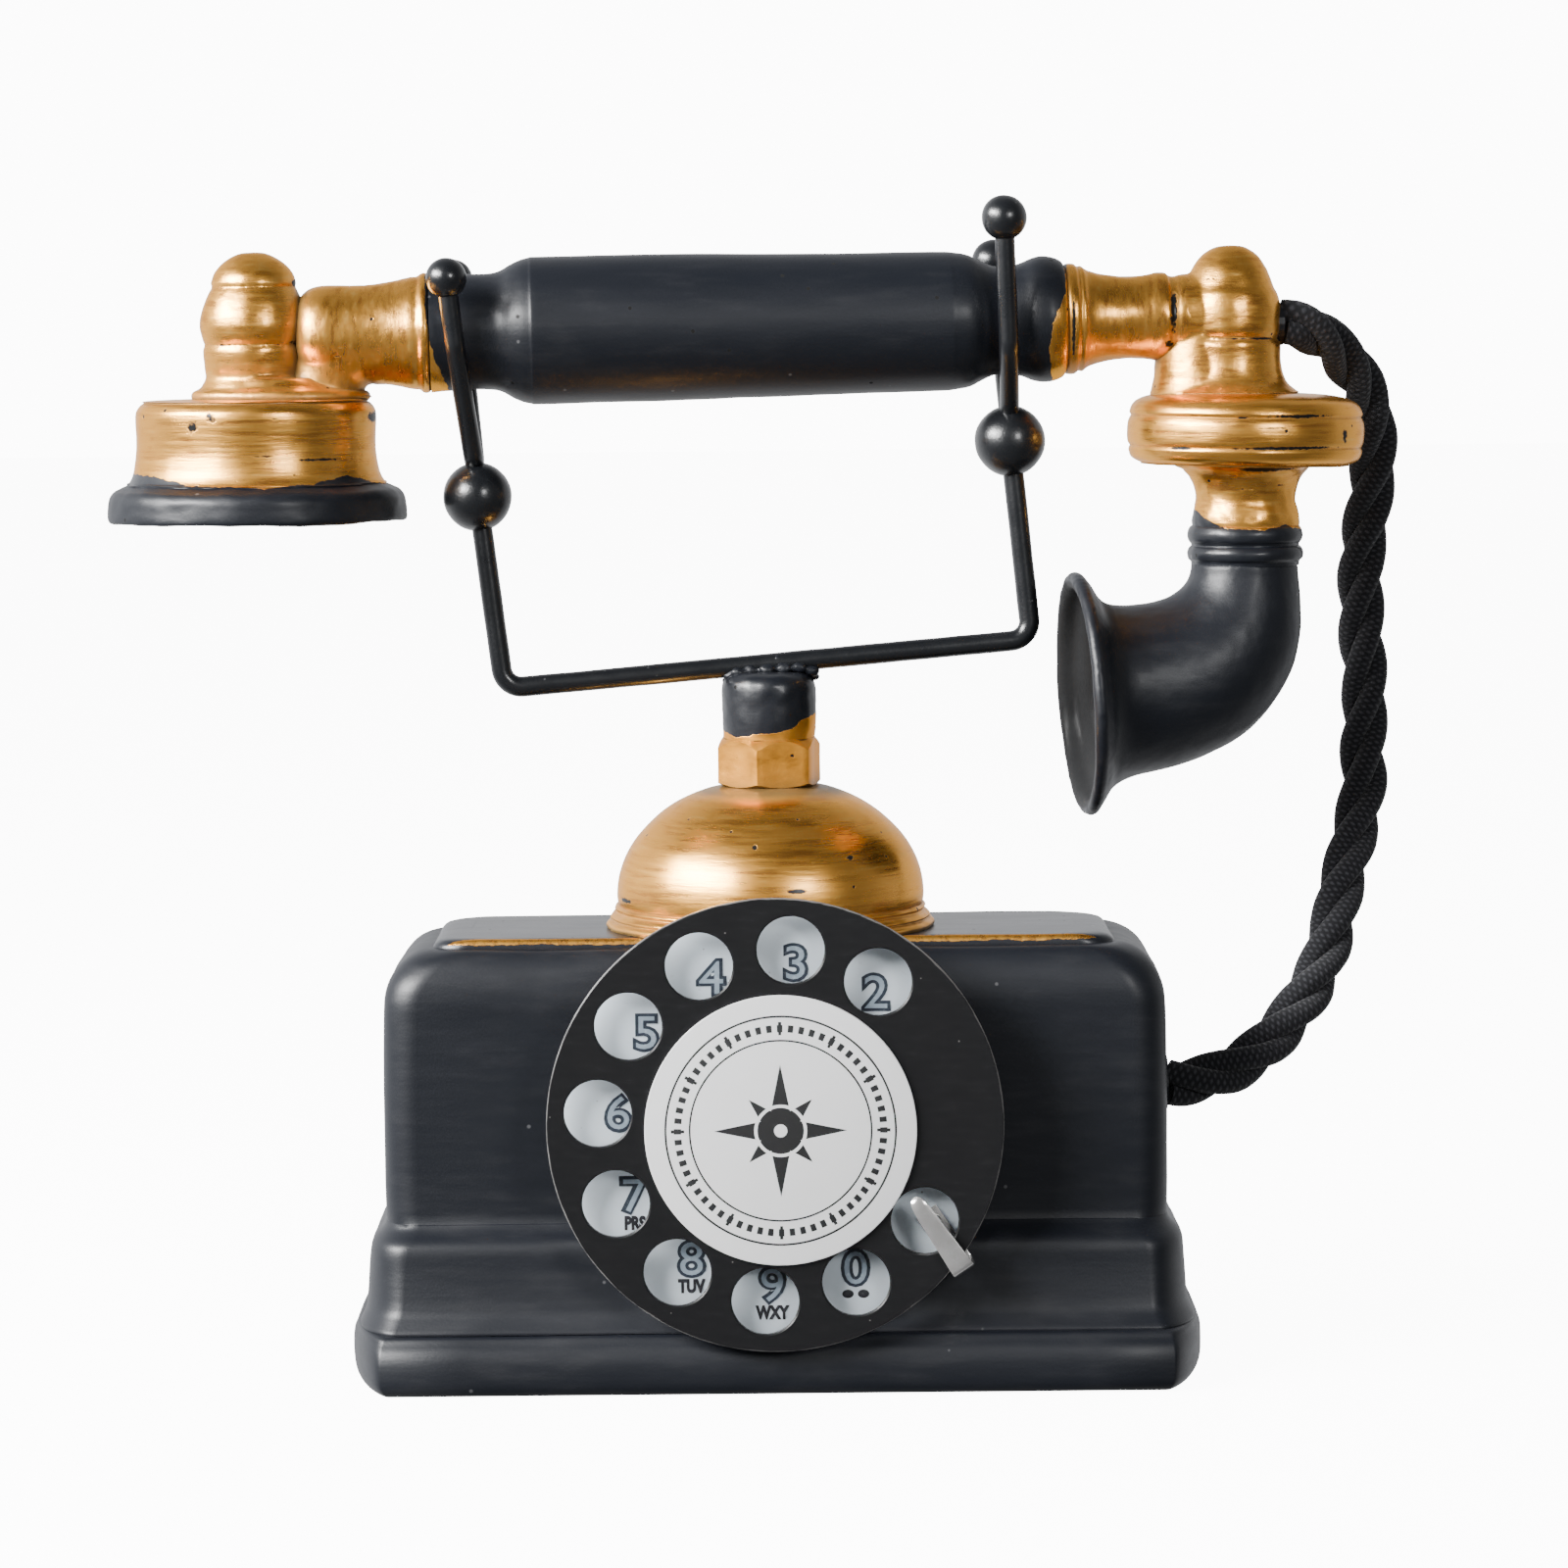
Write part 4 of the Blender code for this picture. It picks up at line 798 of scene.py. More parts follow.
def build_cradle():
    look = gloss_black("cradle_black")
    posts = ((BALL_LEFT, BAR_LEFT, BALL_LEFT_R), (BALL_RIGHT, BAR_RIGHT, BALL_RIGHT_R))
    left, right = (ball - (ball - foot).normalized() * radius * 0.3 for ball, foot, radius in posts)
    path = rounded([left, BAR_LEFT, BAR_RIGHT, right], BAR_BEND)
    piece("cradle_wire", tube(path, WIRE_RADIUS, 24), look, "base", "cradle_rod", move=HANDSET_YAW,
          uneven=(0.05, 5, 1.0))
    sides = (
        ("left", BALL_LEFT, BALL_LEFT_R, Vector((-54.0, 13.6, 184.8)), 0.0, 12.6, 174.5, 3.4),
        ("right", BALL_RIGHT, BALL_RIGHT_R, Vector((39.2, 13.6, 193.6)), 7.0, 12.0, 173.6, 3.8),
    )
    for side, ball, radius, tip, drop, spread, knee, tip_radius in sides:
        low = ball + Vector((0, 0, radius - 3.4))
        knee_x = low.x + (tip.x - ball.x) / (tip.z - ball.z) * (knee - low.z)
        path = rounded([
            (tip.x, -tip.y, tip.z), (knee_x - 0.4, -spread, knee), low,
            (knee_x + 0.4, spread, knee), (tip.x + 0.6, tip.y, tip.z - drop),
        ], FORK_BEND)
        piece(f"fork_wire_{side}", tube(path, FORK_RADIUS, 24), look, "base", f"fork_{side}",
              move=HANDSET_YAW, uneven=(0.05, 5, 2.0))
        piece(f"cradle_ball_{side}_gloss", sphere(ball, radius, 56), look, "base",
              f"cradle_ball_{side}", move=HANDSET_YAW, uneven=(0.10, 6, 3.0))
        for where, end, inner in (("front", path[0], path[3]), ("rear", path[-1], path[-4])):
            middle = end + (end - inner).normalized() * (tip_radius - 2.4)
            piece(f"fork_tip_{side}_{where}_gloss", sphere(middle, tip_radius), look, "base",
                  f"fork_tip_{side}_{where}", move=HANDSET_YAW, uneven=(0.06, 4, 4.0))
    blobs = [(-6.9, -1.2, 117.9, 1.1), (-7.4, 0.2, 117.0, 0.9), (-5.6, -2.0, 118.5, 1.0),
             (6.9, -1.0, 118.6, 1.1), (7.3, 0.4, 117.6, 0.9), (-3.6, -1.5, 118.8, 1.1),
             (-0.6, -1.9, 118.9, 1.2), (2.2, -1.7, 119.1, 1.1), (4.8, -1.6, 119.2, 1.0),
             (-4, 1.6, 118.8, 1.2), (0, 1.9, 119.0, 1.3), (4, 1.7, 119.4, 1.2), (1.2, -0.4, 120.6, 1.1),
             (-2.0, -0.3, 120.2, 0.9)]
    lumps = [sphere(b[:3], b[3], 20, (1.25, 1, 0.9)) for b in blobs]
    piece("cradle_weld", joined(*lumps), satin_black("weld_black"), "base",
          skin=(0.35, 4), uneven=(0.22, 1.6, 1.0))


# Dial; digits and letters lie on the number plate, the wheel and its label turn over them

WHEEL_RADIUS, HOLE_RADIUS, HOLE_CIRCLE = 37.8, 5.6, 29.35
HOLE_ANGLES = [math.radians(54.2 + 30.3 * k) for k in range(10)]
DIGITS_MIDDLE, DIGITS_CIRCLE = DIAL + Vector((1.0, 0, -0.4)), 27.1
INK_Y, FILL_Y = -32.36, -32.42
PRINTED = list(zip("234567890", ["", "", "", "", "", "PRS", "TUV", "WXY", ".."]))


def holed_disc(radius, front, back, holes, hole_radius, bevel):
    """A disc in x and z with round holes, flat faces and small bevels."""
    bm = bmesh.new()
    circles = [((0, 0), radius, 180, 1)] + [(c, hole_radius, 48, -1) for c in holes]
    faces = {front: [], back: []}
    for (cx, cz), r, steps, sign in circles:
        levels = []
        for y, inset in ((front, bevel), (front + bevel, 0), (back - bevel, 0), (back, bevel)):
            size = r - sign * inset
            levels.append([bm.verts.new((cx + size * c, y, cz + size * s)) for c, s in circle(steps)])
        for a, b in zip(levels, levels[1:]):
            for i in range(steps):
                bm.faces.new((a[i], a[(i + 1) % steps], b[(i + 1) % steps], b[i]))
        faces[front].append(levels[0])
        faces[back].append(levels[3])
    for rings in faces.values():
        edges = [bm.edges.get((v, ring[(i + 1) % len(ring)])) for ring in rings
                 for i, v in enumerate(ring)]
        bmesh.ops.triangle_fill(bm, edges=edges, use_beauty=True)
    bm.verts.index_update()
    shape = ([v.co.copy() + DIAL for v in bm.verts], [[v.index for v in f.verts] for f in bm.faces])
    bm.free()
    return shape


def wheel_look():
    look = Look("wheel_black")
    radius = look.distance(look.x - DIAL.x, look.z - DIAL.z)
    dust = look.step(look.cells(4.2, seed=3.3), 0.045, 0.02)
    scratch = look.noise(1.6, 4.0, stretch=(0.3, 1, 1.8), seed=2.1, rough=0.7)
    # Lighter grey on the rim bevel: worn paint there, and a painted highlight along the edge
    edge = look.step(radius + look.noise(5, 3.0, seed=9.0) * 0.55, 37.86, 38.0)
    colour = look.mix(look.step(scratch, 0.55, 0.85), (0.0075, 0.0075, 0.0085), (0.016, 0.016, 0.018))
    colour = look.mix(dust * 0.5, colour, (0.30, 0.29, 0.28))
    return look.finished(
        Base_Color=look.mix(edge * 0.5, colour, (0.35, 0.34, 0.33)),
        Roughness=scratch * 0.2 + 0.30, Normal=look.bump(scratch, 0.03, 0.3),
        Specular_IOR_Level=BLACK_GLOSS,
    )


def label_look():
    """Paper printed with rings of ticks and an eight-pointed rosette."""
    look = Look("label_paper")
    x, z = look.x - LABEL.x, look.z - LABEL.z
    radius = look.distance(x, z)
    turn = look.math("FRACT", look.math("ARCTAN2", x, z) * (1 / math.tau) + 1.0)
    marks = [look.math("COMPARE", radius, 19.0, 0.16), look.math("COMPARE", radius, 15.0, 0.14)]
    for count, wide, low, high in ((60, 0.10, 16.4, 17.6), (12, 0.055, 15.9, 18.1)):
        part = look.math("FRACT", turn * count + 0.5)
        tick = look.math("COMPARE", part, 0.5, wide * count / 24)
        marks.append(tick * look.math("COMPARE", radius, (low + high) / 2, (high - low) / 2))
    for long, shift in ((11.0, 0.5), (7.4, 1.0)):
        short = 3.1
        part = look.math("FRACT", turn * 4 + shift)
        angle = look.math("ABSOLUTE", part - 0.5) * (math.pi / 2)
        along, aside = (radius * look.math(kind, angle) for kind in ("COSINE", "SINE"))
        marks.append(look.math("LESS_THAN", aside, (long - along) * (short / long * 0.72)))
    ring = look.math("COMPARE", radius, 4.1, 0.28)
    hub = look.math("LESS_THAN", radius, 1.1)
    ink = look.most(*marks) * (1.0 - ring) * (1.0 - hub)
    fibres = look.noise(0.5, 4.0, seed=2.0, rough=0.7)
    paper = look.mix(look.noise(8, 2.0, seed=5.0), (0.90, 0.90, 0.90), (0.95, 0.95, 0.96))
    faded = look.mix(look.step(fibres, 0.62, 0.8), (0.012, 0.012, 0.013), (0.05, 0.05, 0.05))
    return look.finished(Base_Color=look.mix(ink, paper, faded), Roughness=fibres * 0.2 + 0.42,
                         Normal=look.bump(fibres, 0.02, 0.4))


def plate_look():
    look = Look("plate_enamel")
    cloud = look.noise(7, 3.0, seed=3.0)
    grime_and_shade = look.noise(2.5, 5.0, seed=6.0, rough=0.75)
    spots = look.step(look.cells(4.0, seed=8.0), 0.06, 0.03)
    colour = look.mix(cloud, (0.72, 0.82, 0.90), (0.82, 0.89, 0.94))
    colour = look.mix(look.step(grime_and_shade, 0.58, 0.8) * 0.35, colour, (0.30, 0.33, 0.37))
    return look.finished(
        Base_Color=look.mix(spots * 0.5, colour, (0.1, 0.1, 0.11)),
        Roughness=grime_and_shade * 0.3 + 0.22, Normal=look.bump(grime_and_shade, 0.03, 0.4),
        Coat_Weight=0.5, Coat_Roughness=0.08,
    )


def ink_look(name, colour, worn):
    look = Look(name)
    rub = look.noise(0.9, 4.0, seed=4.0, rough=0.7)
    return look.finished(
        Base_Color=look.mix(look.step(rub, 0.5, 0.75), colour, worn), Roughness=0.45,
        Normal=look.bump(rub, 0.02, 0.4),
    )


def glyph(text, size, x, z, y, grow, wide):
    """Vertices and faces of one line of type, upright, centred on x and z, facing -Y."""
    half_turn = text == "9"
    data = bpy.data.curves.new("glyph", "FONT")
    data.body, data.size, data.offset, data.extrude = "6" if half_turn else text, size, grow, 0.03
    data.resolution_u = 4
    data.align_x, data.align_y = "CENTER", "CENTER"
    obj = placed("glyph", data)
    bpy.context.view_layer.update()
    mesh = bpy.data.meshes.new_from_object(obj.evaluated_get(bpy.context.evaluated_depsgraph_get()))
    verts = [v.co.copy() for v in mesh.vertices]
    faces = [list(p.vertices) for p in mesh.polygons]
    bpy.data.objects.remove(obj)
    middle = [(min(v[i] for v in verts) + max(v[i] for v in verts)) / 2 for i in (0, 1)]
    stand = shift(x, y, z) @ spin(90, "X") @ spin(180 if half_turn else 0, "Z")
    stand = stand @ Matrix.Diagonal((wide, 1, 1, 1))
    return [stand @ (v - Vector((*middle, 0))) for v in verts], faces


def build_dial():
    plate = [(8.0, 32.3, 0), (35.8, 32.3, 0), (36.1, 32.2), (36.2, 31.9), (36.2, 31.3, 0), (8.0, 31.3, 0)]
    piece("number_plate_enamel", lathe(plate, 144), plate_look(), "base", "number_plate",
          move=DIAL_PLACE, corner=30)
    outlines, fills, letters = [], [], []
    for angle, (digit, word) in zip(HOLE_ANGLES, PRINTED):
        x = DIGITS_MIDDLE.x + DIGITS_CIRCLE * math.cos(angle)
        z = DIGITS_MIDDLE.z + DIGITS_CIRCLE * math.sin(angle)
        outlines.append(glyph(digit, 7.9, x, z, INK_Y, 0.50, 1.1))
        fills.append(glyph(digit, 7.9, x, z, FILL_Y, 0.0, 1.1))
        if word == "..":
            letters += [sphere((x + d, -32.33, z - 4.4), 0.95, 20, (1, 0.08, 0.75)) for d in (-1.3, 1.3)]
        elif word:
            letters.append(glyph(word, 3.0, x, z - 4.6, INK_Y, 0.17, 0.74))
    for name, shapes, look in (
        ("dial_digit_outlines", outlines, ("digit_outline", (0.030, 0.040, 0.058), (0.10, 0.12, 0.15))),
        ("dial_digit_faces", fills, ("digit_fill", (0.34, 0.42, 0.50), (0.52, 0.60, 0.67))),
        ("dial_letters", letters, ("letter_ink", (0.02, 0.02, 0.025), (0.08, 0.08, 0.09))),
    ):
        piece(name, joined(*shapes), ink_look(*look), "base", smooth=False)
    holes = [(HOLE_CIRCLE * math.cos(a), HOLE_CIRCLE * math.sin(a)) for a in HOLE_ANGLES]
    piece("finger_wheel_black", holed_disc(WHEEL_RADIUS, -37.0, -35.7, holes, HOLE_RADIUS, 0.22),
          wheel_look(), "wheel", "finger_wheel", corner=35)
    paper = [(0, 37.62, 0), (22.3, 37.62, 0), (22.45, 37.58), (22.5, 37.45), (22.5, 37.02, 0), (0, 37.02, 0)]
    piece("wheel_label_paper", lathe(paper, 144), label_look(), "wheel", "wheel_label",
          move=LABEL_PLACE, corner=30)


def build_stop():
    """A bent chrome strip: tab on the plate, riser past the rim, arm over the wheel."""
    angle, arm = math.radians(-37.8), math.radians(124)
    foot = DIAL + Vector((38.9 * math.cos(angle), 0, 38.9 * math.sin(angle)))
    along = Vector((math.cos(arm), 0, math.sin(arm)))
    side = along.cross(Vector((0, 1, 0))).normalized()
    line = rounded([(10.5, -32.7, 0), (-0.3, -32.7, 0), (-0.3, -38.35, 0), (13.4, -38.35, 0)], 0.75, 6, 1.2)
    line += [Vector((13.75, -38.2, 0)), Vector((13.95, -37.9, 0))]
    total = sum((b - a).length for a, b in zip(line, line[1:]))
    taper, nose = 15, 1.3
    rings, run = [], 0.0
    for i, (p, a) in enumerate(zip(line, directions(line)[0])):
        run += (p - line[i - 1]).length if i else 0
        left = total - run
        width = 2.0 if run < taper else 2.0 - 0.75 * (run - taper) / (total - taper)
        if left < nose:
            width = max(0.35, 1.25 * math.sqrt(max(0, 1 - (1 - left / nose) ** 2)))
        out = Vector((-a.y, a.x, 0))
        ring = []
        for across, thick in ((-1, -0.3), (-0.9, -0.38), (0.9, -0.38), (1, -0.3),
                              (1, 0.3), (0.9, 0.38), (-0.9, 0.38), (-1, 0.3)):
            at = p + out * thick
            ring.append(foot + along * at.x + Vector((0, at.y, 0)) + side * (across * width))
        rings.append(ring)
    chrome = metal("stop_chrome", (0.92, 0.91, 0.89), (0.84, 0.82, 0.80), 0.16, (0.2, 0.2, 0.2), 0.8)
    piece("finger_stop_chrome", loft(rings), chrome, "base", "finger_stop", corner=50)


# Handset


def on_grip(profile, steps=96):
    """A body turned about the grip's axis."""
    return moved(lathe(profile, steps), HANDSET_YAW @ GRIP_AXIS)


def upright(profile, x, tilt=0.0, steps=96):
    """A body turned about an upright axis, which may lean a little."""
    lean = shift(x, 0, 158) @ spin(tilt, "Y") @ shift(0, 0, -158)
    return moved(lathe(profile, steps), HANDSET_YAW @ lean)


def oval_foot(rings):
    """Rings of (z, middle x, half x, half y) as a closed body in the handset's frame."""
    made = [[Vector((middle + half_x * c, half_y * s, z)) for c, s in circle(64)]
            for z, middle, half_x, half_y in rings]
    return moved(loft(made), HANDSET_YAW)


def left_paint(look, middle=-57.0):
    """Millimetres past the left end of the grip's black paint."""
    line = look.graph(look.z, [(163, -52.6), (165.2, -53.1), (172.5, -56.0), (178.3, middle),
                               (184.9, -57.6), (190, -57.8)])
    return line - look.x


def right_paint(look, more=0.2):
    """Millimetres past the right end of the grip's black paint."""
    line = look.graph(look.z, [(164, 49.0), (168.2, 48.1), (172.3, 47.5), (177.3, 48.0),
                               (182.2, 50.2 + more), (190, 50.6 + more)])
    return look.x - line


def build_grip():
    outline = [(0, 50.5, 0), (9.0, 50.5, 0), (9.9, 49.9), (10.5, 48.4), (10.7, 46.8), (10.4, 45.0),
               (9.6, 43.0), (9.15, 40.8), (9.3, 38.4), (10.2, 36.2), (11.2, 34.2), (11.65, 31.5),
               (11.8, 27.9), (12.0, 7.8), (12.35, -14.0), (12.5, -37.0), (12.3, -40.6),
               (11.4, -43.2), (10.2, -45.4), (9.8, -47.8), (9.85, -52.0), (10.0, -55.6),
               (10.1, -57.2, 0), (0, -57.2, 0)]
    look = painted("grip_paint", ALONG, lambda k: k.most(left_paint(k, -57.2), right_paint(k, 0.0)),
                   coat=0.1)
    piece("grip_black", on_grip(outline, 128), look, "handset", "grip", uneven=(0.13, 12, 3.0))


def ear_edge(look):
    line = look.graph(look.x, [(-113, 152.6), (-106, 153.6), (-101.3, 153.0), (-95.6, 151.8),
                               (-84.1, 151.4), (-76, 151.9), (-70.5, 153.2), (-67.5, 152.2),
                               (-61.3, 150.4), (-58, 150.4)])
    return look.z - line


def build_ear():
    # Painted shade: the boss goes dark and dull where the elbow meets it
    look = painted("ear_gold", TURNED, marks=[
        ((-86.9, -9, 175.0), (6.0, 3, 0.28)), ((-80.0, -6, 175.3), (1.6, 3, 0.7)),
        ((-79.9, -4.5, 185.3), (0.8, 2, 0.6)), ((-92, -8, 168.2), (0.4, 2, 0.4)),
    ], grime_and_shade=lambda k: k.step(k.distance(k.y, k.z - 176), 10.2, 8.6) * k.step(k.x, -81.6, -79.4))
    boss = [(0, 190.6, 0), (2.4, 190.25), (4.8, 189.0), (6.5, 187.2), (7.15, 185.6), (7.2, 185.1),
            (6.95, 184.7), (7.35, 184.2), (8.2, 182.4), (8.9, 180.2), (9.15, 178.2), (8.9, 176.6),
            (8.6, 175.5), (8.3, 175.0), (8.6, 174.5), (8.7, 173.4), (8.45, 171.0), (8.3, 169.4),
            (9.0, 168.0), (9.3, 166.4), (9.3, 165.6, 0), (0, 165.6, 0)]
    foot = oval_foot([(165.4, -82.6, 14.8, 10.8), (166.2, -82.6, 15.2, 11.2),
                      (167.0, -82.7, 14.9, 10.8), (167.8, -83.2, 12.8, 9.8), (169.4, -84.4, 9.8, 8.9)])
    piece("ear_boss_gold", joined(upright(boss, EAR_X), foot), look, "handset", "ear_boss",
          skin=(0.36, 1), uneven=(0.10, 6, 1.0))

    elbow = [(0, -57.2, 0), (9.6, -57.2, 0), (10.15, -57.7), (10.1, -58.6), (9.5, -59.2),
             (9.55, -60.0), (9.0, -62.4), (8.5, -65.5), (8.25, -69.0), (8.35, -73.0),
             (8.3, -75.6), (7.7, -77.6), (6.2, -79.2), (3.5, -80.0), (0, -80.2, 0)]
    bend = catmull([(-60, 176.4, 8.6), (-65, 176.3, 8.3), (-70, 175.2, 7.9), (-73.4, 172.4, 7.3),
                    (-75.0, 169.0, 6.8), (-75.4, 167.0, 7.2), (-75.4, 165.6, 8.4)], 4)
    knee = tube([Vector((p.x, 0, p.y)) for p in bend], [p.z for p in bend], 48)
    # Painted shade: the elbow goes dark and dull where it meets the boss
    look = painted("elbow_gold", ALONG, left_paint, marks=[
        ((-72.3, -8.0, 173.0), (0.9, 3, 0.4)), ((-76.6, -6.0, 172.2), (0.6, 3, 0.5)),
        ((-71.5, -8, 174.4), (1.8, 3, 0.25)),
    ], grime_and_shade=lambda k: k.step(k.distance(k.x - EAR_X, k.y - 3.8), 10.6, 9.0))
    piece("ear_elbow_gold", joined(on_grip(elbow), moved(knee, HANDSET_YAW)), look, "handset", "ear_elbow",
          skin=(0.36, 4), uneven=(0.10, 5, 5.0))
    drum = [(0, 166.0, 0), (17.4, 165.7), (18.9, 165.3), (19.9, 164.4), (20.3, 163.0), (20.2, 159.0),
            (20.3, 156.5), (20.8, 153.6), (21.5, 152.0), (22.0, 151.6, 0), (17.4, 151.6, 0),
            (17.4, 160, 0), (0, 160, 0)]
    look = painted("drum_gold", AROUND, ear_edge, marks=[
        ((-95.6, -18.5, 161.4), (1.25, 5, 1.3)), ((-92.3, -19.5, 163.0), (1.1, 5, 1.05)),
        ((-66.9, -4, 162.7), (0.65, 8, 1.0)), ((-81.7, -19.5, 162.8), (1.1, 4, 0.35)),
        ((-75.8, -17.5, 155.9), (4.2, 6, 0.28)), ((-78.5, -18.5, 153.4), (0.9, 4, 0.5)),
        ((-84, -19, 156.6), (3.0, 6, 0.18)),
    ])
    piece("ear_drum_gold", upright(drum, EAR_X, steps=144), look, "handset", "ear_drum",
          uneven=(0.12, 8, 2.0))
    cap = [(0, 148.6, 0), (16.0, 148.6, 0), (16.6, 151.9, 0), (21.4, 151.9), (22.0, 151.4),
           (23.0, 150.9), (24.2, 150.3), (24.9, 149.2), (25.1, 147.6), (25.2, 146.2), (25.1, 145.5),
           (24.7, 145.25), (23.0, 145.2, 0), (9.0, 146.4), (0, 146.6, 0)]
    look = painted("ear_cap_paint", AROUND, ear_edge, coat=0.1, chips=[
        ((-76.2, -23, 145.6), (0.9, 3, 0.55)), ((-77.0, -21, 150.2), (0.3, 3, 0.25)),
        ((-92.0, -24, 145.9), (0.3, 3, 0.3)), ((-88.5, -24.5, 146.3), (0.18, 3, 0.18)),
    ])
    piece("ear_cap_black", upright(cap, EAR_X, steps=144), look, "handset", "ear_cap",
          uneven=(0.28, 9, 7.0))


def build_mouth():
    ferrule = [(0, 50.3, 0), (9.0, 50.3, 0), (9.35, 51.0), (9.3, 52.1), (8.85, 52.7), (8.9, 53.4),
               (8.2, 54.4), (7.5, 56.6), (7.1, 59.4), (7.0, 62.0), (7.15, 64.4), (7.45, 66.2),
               (7.4, 67.6), (6.9, 68.3), (6.8, 69.2), (7.1, 70.4), (7.0, 73.0, 0), (0, 73.0, 0)]
    # Painted shade: the ferrule's underside goes darker and duller, at half strength
    look = painted("ferrule_gold", ALONG, right_paint, marks=[
        ((68.7, -6.5, 179.5), (0.75, 5, 4.6)), ((51.6, -8, 176), (0.3, 5, 6.0)),
        ((68.0, -5, 173.6), (1.0, 4, 0.6)),
    ], grime_and_shade=lambda k: k.step(k.z, 173.5, 169.5) * 0.5)
    piece("mouth_ferrule_gold", on_grip(ferrule), look, "handset", "mouth_ferrule",
          uneven=(0.12, 5, 1.5))
    knob = [(0, 190.2, 0), (2.4, 189.95), (4.6, 188.6), (6.2, 186.5), (7.2, 184.3), (7.75, 182.9),
            (8.3, 182.0), (8.75, 180.0), (8.85, 177.6), (8.75, 175.6), (8.3, 174.8), (8.25, 174.2),
            (8.75, 173.6), (8.75, 171.6), (9.0, 169.2), (9.8, 167.0), (11.4, 165.6), (12.4, 165.0, 0),
            (0, 165.0, 0)]
    foot = oval_foot([(164.8, 76.4, 11.4, 9.2), (166.0, 75.9, 10.6, 8.8), (168.0, 75.4, 9.6, 8.2),
                      (171.0, 74.8, 8.8, 7.6), (175.0, 74.8, 8.2, 7.0)])
    socket = on_grip([(0, 69.6, 0), (6.8, 69.6, 0), (7.1, 70.4), (7.2, 71.6), (7.3, 74.0), (7.3, 76.0, 0),
                      (0, 76.0, 0)])
    look = painted("knob_gold", TURNED, marks=[
        ((73.4, -5.5, 184.6), (2.6, 3.5, 0.38)), ((79.1, -8.8, 171.2), (0.9, 2, 0.6)),
        ((79.0, -8.8, 174.4), (7.2, 5, 0.16)), ((84.5, -6, 174.4), (3.0, 5, 0.25)),
        ((82.5, -7, 185.4), (1.8, 4, 0.16)),
    ])
    piece("mouth_knob_gold", joined(upright(knob, MOUTH_X), foot, socket), look, "handset", "mouth_knob",
          skin=(0.36, 2), uneven=(0.10, 6, 8.0))
    disc = [(0, 165.4, 0), (12.0, 165.1), (16.4, 164.6), (18.4, 163.9), (19.4, 163.0), (19.85, 161.9),
            (19.75, 161.45), (19.62, 161.2), (19.8, 160.9), (20.1, 160.0), (20.2, 158.4),
            (20.1, 156.9), (19.85, 156.3), (19.68, 156.05), (19.8, 155.8), (19.85, 155.2),
            (19.3, 154.0), (17.8, 153.2), (16.0, 152.9), (0, 152.9, 0)]
    look = painted("disc_gold", AROUND, thin=0.02, marks=[
        ((90.0, -18.0, 161.4), (6.6, 8, 0.34)), ((79, -19, 161.3), (1.6, 4, 0.22)),
        ((88.0, -18.5, 156.1), (10.5, 9, 0.30)), ((69, -17, 156.2), (2.4, 9, 0.30)),
        ((84, -19.5, 159.5), (3.5, 4, 0.12)), ((97, -12, 158), (0.5, 4, 1.6)),
    ])
    piece("mouth_disc_gold", upright(disc, DISC_X, 1.2, 144), look, "handset",
          "mouth_disc", uneven=(0.10, 6, 4.0))

    def neck_edge(look):
        line = look.graph(look.x, [(70, 147.0), (72.6, 145.4), (74.4, 143.7), (77.5, 142.4),
                                   (83.5, 142.0), (87.6, 142.8), (88.8, 142.2), (92, 142.0)])
        return look.z - line

    neck = [(0, 153.4, 0), (11.8, 153.2), (10.8, 152.2), (9.6, 150.9), (8.75, 149.0), (8.5, 147.0),
            (8.9, 145.0), (9.2, 143.4), (9.1, 142.4, 0), (0, 142.4, 0)]
    look = painted("neck_gold", TURNED, neck_edge, marks=[
        ((84.4, -8, 152.4), (5.0, 4, 0.45)), ((80.5, -8, 149.0), (2.2, 3, 0.25)),
        ((87.2, -6, 149.6), (1.2, 3, 0.25)),
    ])
    piece("mouth_neck_gold", upright(neck, DISC_X), look, "handset", "mouth_neck",
          uneven=(0.28, 4.5, 2.0))
    collar = [(0, 142.8, 0), (8.9, 142.8, 0), (9.5, 142.3), (9.85, 141.3), (9.75, 140.2), (9.3, 139.6),
              (9.2, 139.2), (9.6, 138.8), (9.9, 138.0), (9.75, 137.0), (9.3, 136.5), (9.2, 135.8, 0),
              (0, 135.8, 0)]
    piece("horn_collar_black", upright(collar, DISC_X), look, "handset", "horn_collar",
          uneven=(0.16, 5, 3.0))


HORN_OUTLINES = [
    ((72.0, 136.4), (90.4, 136.4)), ((72.0, 135.2), (90.6, 133.2)), ((71.7, 133.9), (90.9, 129.0)),
    ((71.0, 132.6), (90.7, 123.6)), ((69.9, 131.5), (89.2, 117.7)), ((68.4, 130.5), (85.7, 111.6)),
    ((66.4, 129.8), (80.1, 106.3)), ((63.9, 129.4), (72.4, 102.5)), ((60.9, 129.2), (66.0, 100.8)),
    ((58.3, 129.4), (61.6, 99.8)), ((56.6, 130.0), (58.9, 98.7)), ((55.2, 131.4), (57.2, 97.2)),
    ((54.2, 133.0), (56.2, 95.5)), ((53.2, 134.1), (55.3, 94.2)),
]


